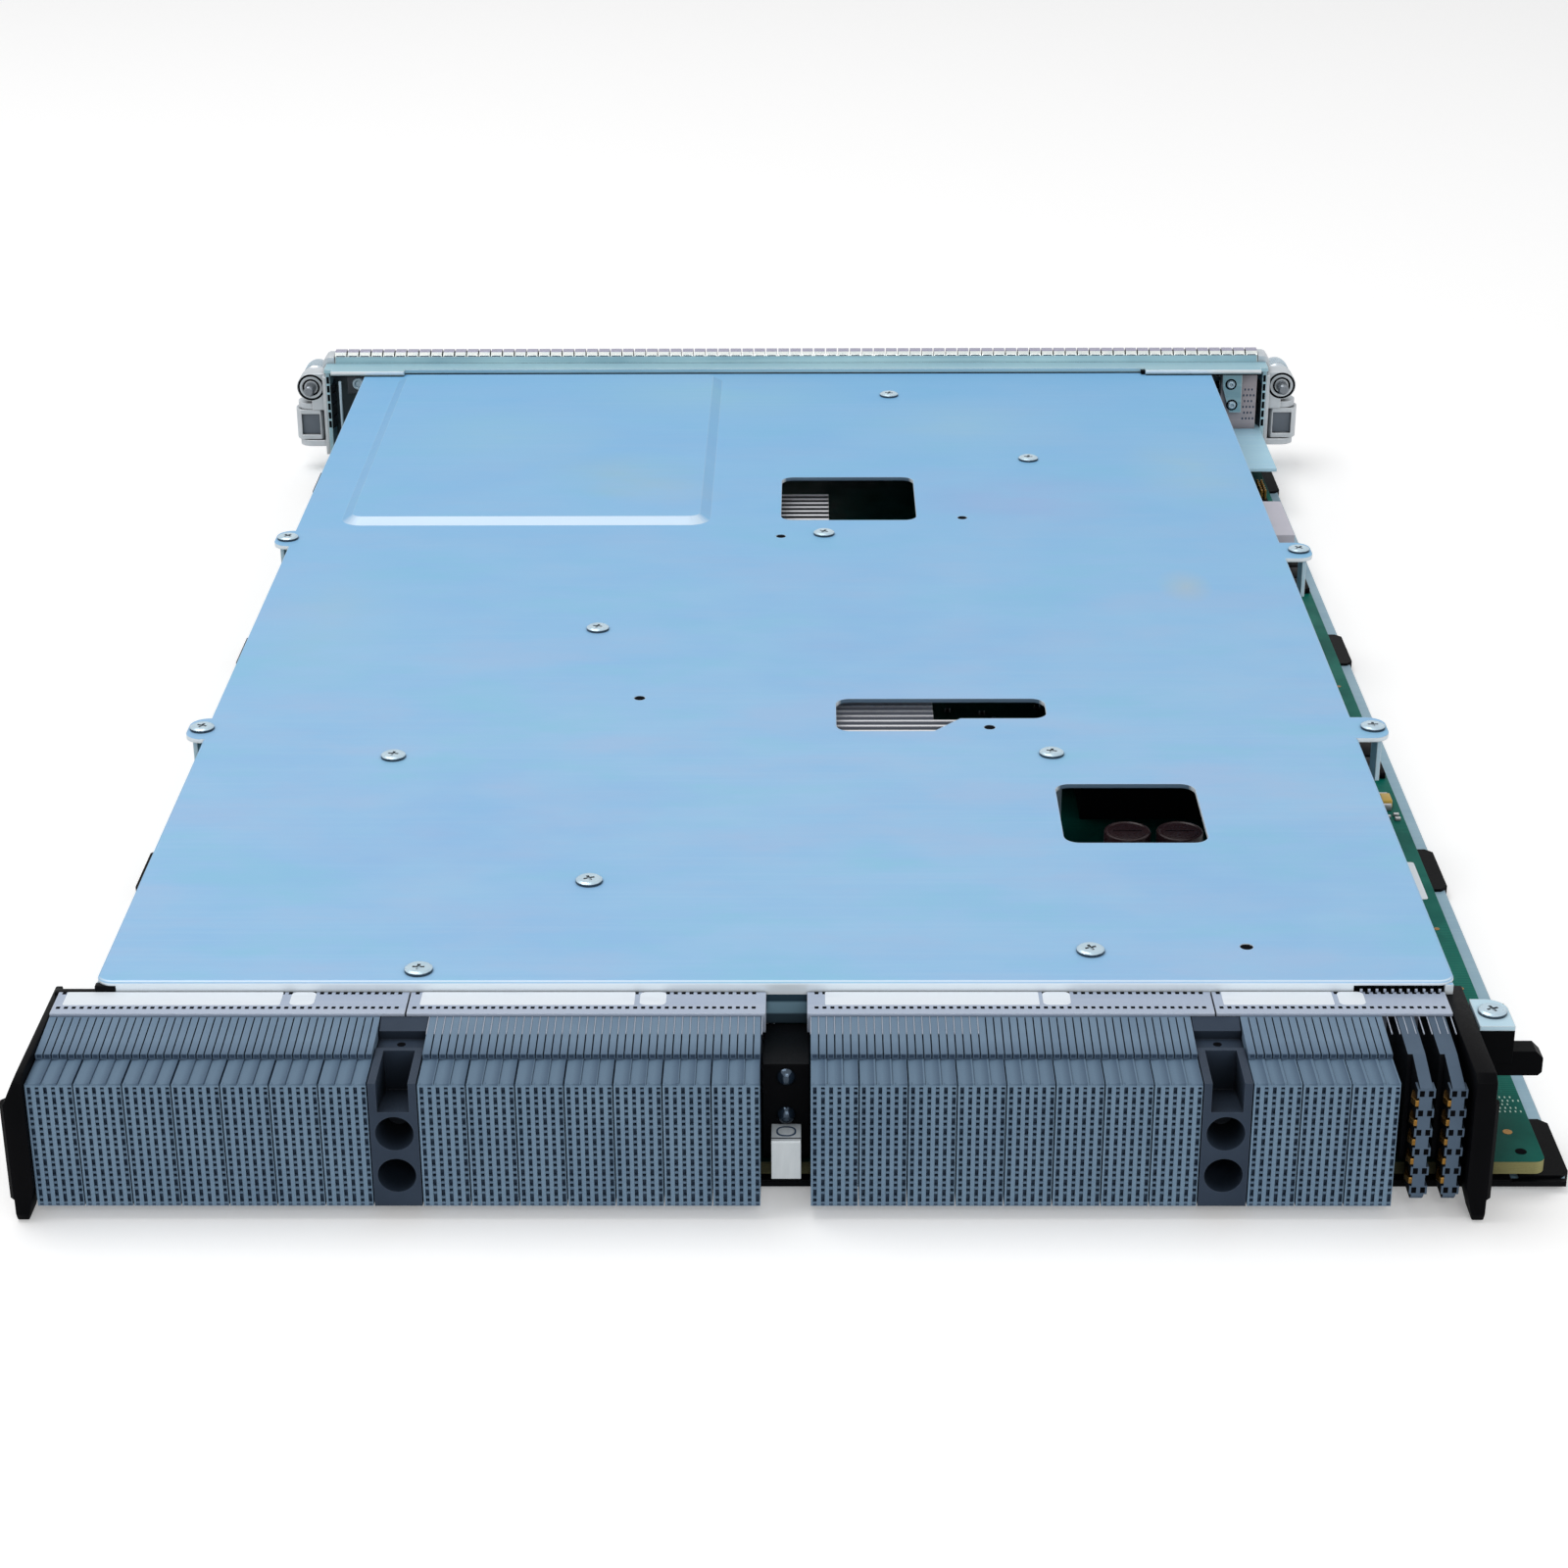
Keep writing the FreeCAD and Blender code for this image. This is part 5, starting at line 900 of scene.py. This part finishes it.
# heat sink behind the middle window, with longer fins at its front
stackSizes = {"left": -28.0, "front": 178.0, "back": 236.0, "floor": 12.1, "base": 16.1, "top": 36.4,
              "sunk": 0.2, "first": 179.05, "pitch": 3.65, "thick": 1.1, "ease": 0.3,
              "fins": ((50.0, 9), (42.0, 7))}
left, front, back, floor, base, top, sunk, finY, step, thick, rounding, fins = stackSizes.values()
finRuns, tall = [], top - base + sunk
for right, count in fins:
    start = ((left + right) / 2, finY, top - tall / 2)
    finRuns.append((start, (0, step, 0), count, (right - left, thick, tall)))
    finY += count * step
shape = rows("stackAluminium", finRuns)
slab(shape, (left, front, floor), (fins[0][0], back, base), rounding)
keep("finStack", shape, "stackAluminium", "bare_aluminium", stands=("processor_heat_sink",))

# memory packages on both faces of the standing modules
memorySizes = {"block": (1.0, 9.6, 12.0), "step": (0, 14.2, 0), "count": 9,
               "starts": [(x, 270.5, 24.2) for x in (110.85, 113.15, 122.85, 125.15)]}
rowPiece("memoryPackages", "blackPlastic", "black_plastic", **memorySizes)

# far corners: straps with rivets and an eyelet, a painted highlight along the ends of the panel's fold,
# painted shade around the rivets and in the gaps below the fold
strapSizes = {"y": (534.2, 535.3), "rivets": ((166.9, 534.2, 37.1), (167.6, 534.2, 29.0)),
              "leftY": (538.0, 538.7),
              "outline": ((163.6, 41.7), (171.0, 41.7), (171.2, 26.0), (166.8, 26.0), (163.8, 36.0)),
              "left": ((-170.4, 41.7), (-170.4, 33.0), (-161.6, 33.0), (-161.6, 41.7)),
              "rivet": ((0, 0.3), (0.5, 0.3), (0.72, 0.78), (1.15, 0.8), (1.5, 0.4), (1.6, 0), (0, 0)),
              "eyelet": ((0, 0.3), (1.1, 0.3), (1.5, 0.9), (2.1, 0.9), (2.4, 0.4), (2.4, 0), (0, 0)),
              "eyeletAt": (-166.1, 538.0, 37.0), "shade": hoop(1.6, 2.15, 0.06),
              "post": ((-173.8, 537.6, boardTop), (-172.7, 538.4, 38.0), 0.2)}
piece("cornerStrap", "tealSheet", "plated_sheet", (upright, strapSizes["outline"], *strapSizes["y"]))
piece("cornerTongue", "darkSpring", "plated_sheet", (upright, strapSizes["left"], *strapSizes["leftY"]))
piece("panelRivets", "zincScrew", "plated_sheet", *[
    (turned, strapSizes["rivet"], place, frontward) for place in strapSizes["rivets"]],
    (turned, strapSizes["eyelet"], strapSizes["eyeletAt"], frontward), (slab, *strapSizes["post"]))
lipSizes = {"ends": ((-175.7, -147.9, 532.5), (134.1, 177.9, 532.5)), "middle": (-147.7, 132.3, 535.5),
            "proud": 0.05, "sunk": 0.4, "z": (42.1, 43.25), "ease": 0.02, "gap": 0.7, "gapZ": (41.49, 41.72),
            "notch": ((132.4, 533.0, coverTop), (134.0, 535.4, 42.7))}
lipEnds, lipMiddle, proud, sunk, lipZ, rounding, gap, gapZ, notch = lipSizes.values()
# painted highlight along the front of the fold at its ends
slabPiece("lipEdges", "edgeHighlight", "plated_sheet", [
    ((x0, y - proud, lipZ[0]), (x1, y + sunk, lipZ[1]), rounding) for x0, x1, y in lipEnds])
piece("cornerShades", "holeShade", "black_film", *[
    (turned, strapSizes["shade"], place, frontward) for place in strapSizes["rivets"]], (slab, *notch),
    *[(slab, (x0, y - gap, gapZ[0]), (x1, y, gapZ[1])) for x0, x1, y in (*lipEnds, lipMiddle)])

# inside of the panel: coated plate with its holes in painted shade, painted shade behind the vents, hubs, and
# bosses with rings of painted shade
coatSizes = {"outline": ((163.6, 18.5), (177.2, 18.5), (177.2, 41.7), (163.6, 41.7)),
             "front": 537.5, "back": 538.0}
piece("coatedPlate", "coatedSheet", "plated_sheet", (upright, *coatSizes.values()))
screenSizes = {"left": 172.4, "y": 537.48, "low": 22.6, "shift": 0.5, "rise": 2.3, "lines": 6, "holes": 4,
               "step": (1.3, 0, 0), "hole": (0.55, 0.06, 0.8)}
left, y, low, shift, rise, lines, holes, step, hole = screenSizes.values()
# painted shade in the coated plate's holes
rowPiece("plateHoles", "slateDark", "black_film", hole, [
    (left + n % 2 * shift, y, low + n * rise, holes - n % 2) for n in range(lines)], step)
ventSizes = {"insets": (160.0, 164.0, 168.0), "y": 551.2, "heights": (27.0, 32.0, 37.0),
             "block": (1.5, 0.3, 3.3)}
insets, y, heights, block = ventSizes.values()
# painted shade behind the vents
rowPiece("ventScreens", "holeShade", "black_film", block, [
    (endX(side, x), y, z) for side, _ in sides for x in insets for z in heights])
hubSizes = {"x": 188.7, "half": 3.4, "y": (546.3, 546.55), "z": (14.5, 22.6), "ease": 0.1}
hubX, half, (hubFront, hubBack), (hubLow, hubHigh), rounding = hubSizes.values()
for side, word in sides:
    middle = endX(side, hubX)
    block = ((middle - half, hubFront, hubLow), (middle + half, hubBack, hubHigh), rounding)
    slabPiece("hubInlay" + word.capitalize(), "inlayGrey", "charcoal_plastic", [block], body="lever_" + word)
bossSizes = {"x": 187.6, "z": 33.8, "steps": 32,  # profile and y of each ring
             "bossShades": ((hoop(2.6, 3.3, 0.05), 543.72), (hoop(4.35, 5.15, 0.05), 543.52)),
             "bossRims": ((hoop(3.3, 3.5, 0.16), 543.72), (hoop(1.9, 2.6, 0.1), 543.72))}
bossLooks = (("bossShades", "holeShade", "black_plastic"), ("bossRims", "castAlloy", "cast_alloy"))
for name, material, slotName in bossLooks:
    piece(name, material, slotName, *[
        (turned, profile, (endX(side, bossSizes["x"]), y, bossSizes["z"]), frontward, bossSizes["steps"])
        for side, _ in sides for profile, y in bossSizes[name]])

# gaskets: painted shade in the slits between the fingers, a band and painted shadows along them, painted
# shade in the slots at the panel's ends
fingerSizes = {"left": -175.6, "length": 353.4, "count": 77}
fingerPitch = fingerSizes["length"] / fingerSizes["count"]
fingerRow = {"step": (fingerPitch, 0, 0), "count": fingerSizes["count"]}
fingerX = fingerSizes["left"] + fingerPitch / 2
tickSizes = {"block": (0.7, 2.7, 0.06), "starts": [(fingerX, 548.1, 47.16)], **fingerRow}
# painted shade in the slits between the gasket's fingers
rowPiece("gasketTicks", "slateDark", "gasket_spring", **tickSizes)
bandSizes = {"outline": ((543.42, 43.22), (543.5, 43.22), (544.5, 45.7), (544.42, 45.7)),
             "ends": (-175.4, 177.6)}
piece("gasketBand", "tealSheet", "gasket_spring", (prism, *(
    [at(x, y, z) for y, z in bandSizes["outline"]] for x in bandSizes["ends"])))
shadeSizes = {"block": (3.3, 0.16, 0.3), "starts": [(fingerX, 544.5, 45.86)], **fingerRow}
rowPiece("gasketShadows", "slateDark", "gasket_spring", **shadeSizes)
returnSizes = {"block": (1.0, 0.1, 2.6), "step": (0, 0, 3.5), "count": 6,
               "starts": [(endX(side, 180.25), 538.93, 20.5) for side, _ in sides]}
# painted shade in the slots at the panel's ends
rowPiece("returnSlots", "holeShade", "black_film", **returnSizes)

# captive screws: knurled knobs and coil springs
knobSizes = {"x": 187.6, "z": 33.8, "radius": 4.72, "count": 40, "ridge": (0.5, 0.5, 6.6), "middle": 561.4}
springSizes = {"start": 552.3, "turns": 6.0, "inputs": {"Radius": 2.75, "Length": 7.9, "Wire": 0.3},
               "seat": 552.0, "pressed": 0.588}
for side, word in sides:
    across = endX(side, knobSizes["x"])
    growPiece("knobKnurl" + word.capitalize(), ringTree, "zincScrew", "fastener_steel", [(
        [at(across, knobSizes["middle"], knobSizes["z"])], [],
        {"Radius": knobSizes["radius"] * mm, "Count": knobSizes["count"],
         "Block": size(*knobSizes["ridge"])})], body="screw_" + word)
    spring = growPiece("coilSpring" + word.capitalize(), coilTree, "springSteel", "fastener_steel", [(
        [at(across, springSizes["start"], knobSizes["z"])], [],
        {**scaled(springSizes["inputs"]), "Turns": springSizes["turns"]})], stands=("screw_spring_" + word,))
    at(across, springSizes["seat"], knobSizes["z"])
    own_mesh(spring)

# faceplate ports
jackSizes = {"block": (0.5, 7.0, 0.35), "step": (1.2, 0, 0), "count": 8,
             "starts": [(x + 3.35, 543.6, 19.9) for x in (-96.0, -80.8, -65.6, -50.4, -28.0, -12.8)]}
rowPiece("jackContacts", "goldContact", "gold_contact", **jackSizes)
serviceSizes = {"block": (0.9, 4.2, 0.2), "step": (2.3, 0, 0), "starts": [(55.2, 549.0, 13.2, 4)]}
rowPiece("serviceContacts", "goldContact", "gold_contact", **serviceSizes)
faceSizes = {"outline": ((79.0, 12.1), (93.0, 12.1), (94.2, 19.5), (77.8, 19.5)),
             "front": 557.64, "back": 557.4}
piece("alarmInsulator", "blackPlastic", "black_plastic", (upright, *faceSizes.values()))
socketSizes = {"block": (0.9, 0.06, 0.9), "step": (2.2, 0, 0),
               "starts": ((80.5, 557.65, 17.4, 6), (81.6, 557.65, 14.2, 5))}
rowPiece("alarmSockets", "goldContact", "gold_contact", **socketSizes)
postSizes = {"places": ((73.5, 553.0, 15.8), (98.5, 553.0, 15.8)), "lean": backward, "steps": 6,
             "profile": ((0, 0), (2.5, 0), (2.5, 4.0), (1.6, 4.0), (1.4, 2.4), (0, 2.4))}
spunPiece("alarmJackPosts", "zincScrew", "fastener_steel", **postSizes, smooth=20)
coaxSizes = {"places": ((40.0, 554.0, 32.0), (52.0, 554.0, 32.0)), "lean": backward}
sleeveProfile = ((0, 0), (1.58, 0), (1.58, 4.6), (0.5, 4.6), (0.5, 0.2), (0, 0.2))
pinProfile = ((0, 0.2), (0.42, 0.2), (0.42, 5.0), (0.25, 5.4), (0, 5.4))
spunPiece("coaxInsulators", "whiteInsulator", None, sleeveProfile, **coaxSizes)
spunPiece("coaxPins", "goldContact", "gold_contact", pinProfile, **coaxSizes, steps=12)
dotSizes = {"left": 69.2, "y": 552.0, "low": 30.4, "apart": 0.85, "across": 5, "up": 7, "cells": 4,
            "cell": 6.2, "dot": (0.45, 0.06, 0.45)}
left, y, low, apart, dotsAcross, dotsUp, cells, cell, dot = dotSizes.values()
rowPiece("displayDots", "sleeveFilm", "display_face", dot, [
    (left + n * cell, y, low + m * apart)
    for n in range(cells) for m in range(dotsUp)], (apart, 0, 0), dotsAcross)

# underside: low screw heads below the board's standoffs
underSizes = {"x": (-140.0, 0.0, 135.0), "y": (62.0, 200.0, 345.0, 505.0), "z": 1.5, "radius": 2.9}
underInputs = screwInputs(length=0.5, seed=7, lean=(math.pi, 0, 0), share=0.5)
underInputs["Head Radius"] = underSizes["radius"] * mm
growPiece("trayScrewHeads", screwTree, "zincScrew", "fastener_steel", [(
    [at(x, y, underSizes["z"]) for x in underSizes["x"] for y in underSizes["y"]], [], underInputs)])

# camera at the photograph's angle
cameraSizes = {"lens": 71.92, "sensor": 36.0, "yaw": -0.536, "pitch": 24.118, "roll": -0.269,
               "place": (5.67, -900.45, 386.34), "clip": (0.01, 50)}
yaw, dip, roll = (math.radians(cameraSizes[key]) for key in ("yaw", "pitch", "roll"))
ahead = Vector((math.sin(yaw) * math.cos(dip), math.cos(yaw) * math.cos(dip), -math.sin(dip)))
level = Vector((math.cos(yaw), -math.sin(yaw), 0))
above = level.cross(ahead)
right = level * math.cos(roll) + above * math.sin(roll)
above = above * math.cos(roll) - level * math.sin(roll)
lensData = bpy.data.cameras.new("camera")
lensData.lens, lensData.sensor_width = cameraSizes["lens"], cameraSizes["sensor"]
lensData.clip_start, lensData.clip_end = cameraSizes["clip"]
camera = bpy.data.objects.new("camera", lensData)
scene.collection.objects.link(camera)
turn = Matrix((right, above, -ahead)).transposed().to_4x4()
camera.matrix_world = Matrix.Translation(size(*cameraSizes["place"])) @ turn
scene.camera = camera

# floor, soft light and white surroundings
studioSizes = {"floor": 8.0, "below": 0.0002, "white": 0.93, "glow": 0.22, "world": 0.46,
               "lamps": (("softTop", 21.0, 1.4, (-0.7, 0.1, 2.1)), ("softFront", 15.0, 1.6, (0.4, -2.3, 1.2)),
                         ("glint", 2.6, 0.16, (0.15, -2.1, 1.5)))}
floorMesh = bpy.data.meshes.new("floor")
half, floorZ = studioSizes["floor"] / 2, cadBox[0].z - studioSizes["below"]
corners = [(x * half, y * half, floorZ) for x, y in ((-1, -1), (1, -1), (1, 1), (-1, 1))]
floorMesh.from_pydata(corners, [], [(0, 1, 2, 3)])
floor = bpy.data.objects.new("floor", floorMesh)
scene.collection.objects.link(floor)
floorPaint = bpy.data.materials.new("floorPaint")
graph = freshGraph(floorPaint)
seen = graph.node("ShaderNodeLightPath", out="Is Camera Ray")
matt = graph.node("ShaderNodeBsdfPrincipled", {
    "Base Color": (*[studioSizes["white"]] * 3, 1), "Roughness": 0.9, "Specular IOR Level": 0.1,
    "Emission Color": (1, 1, 1, 1), "Emission Strength": seen * studioSizes["glow"]})
graph.node("ShaderNodeOutputMaterial", {"Surface": matt})
floorMesh.materials.append(floorPaint)
world = bpy.data.worlds.new("studio")
scene.world = world
graph = freshGraph(world)
rays = graph.node("ShaderNodeLightPath")
eye, gloss, through = (Wire(graph, pick(rays.socket.node.outputs, name))
                       for name in ("Is Camera Ray", "Is Glossy Ray", "Is Transmission Ray"))
shown = eye.sum("MAXIMUM", eye, eye.sum("MAXIMUM", gloss, through))
sky = graph.node("ShaderNodeBackground", {
    "Color": (1, 1, 1, 1), "Strength": graph.span(shown, 0, 1, studioSizes["world"], 1.0)})
graph.node("ShaderNodeOutputWorld", {"Surface": sky})
for name, energy, width, place in studioSizes["lamps"]:
    lampData = bpy.data.lights.new(name, "AREA")
    lampData.energy, lampData.size = energy, width
    lamp = bpy.data.objects.new(name, lampData)
    lamp.location = place
    lamp.rotation_euler = (-Vector(place)).to_track_quat("-Z", "Y").to_euler()
    scene.collection.objects.link(lamp)
scene.view_settings.view_transform = "Standard"
print("studio ready")
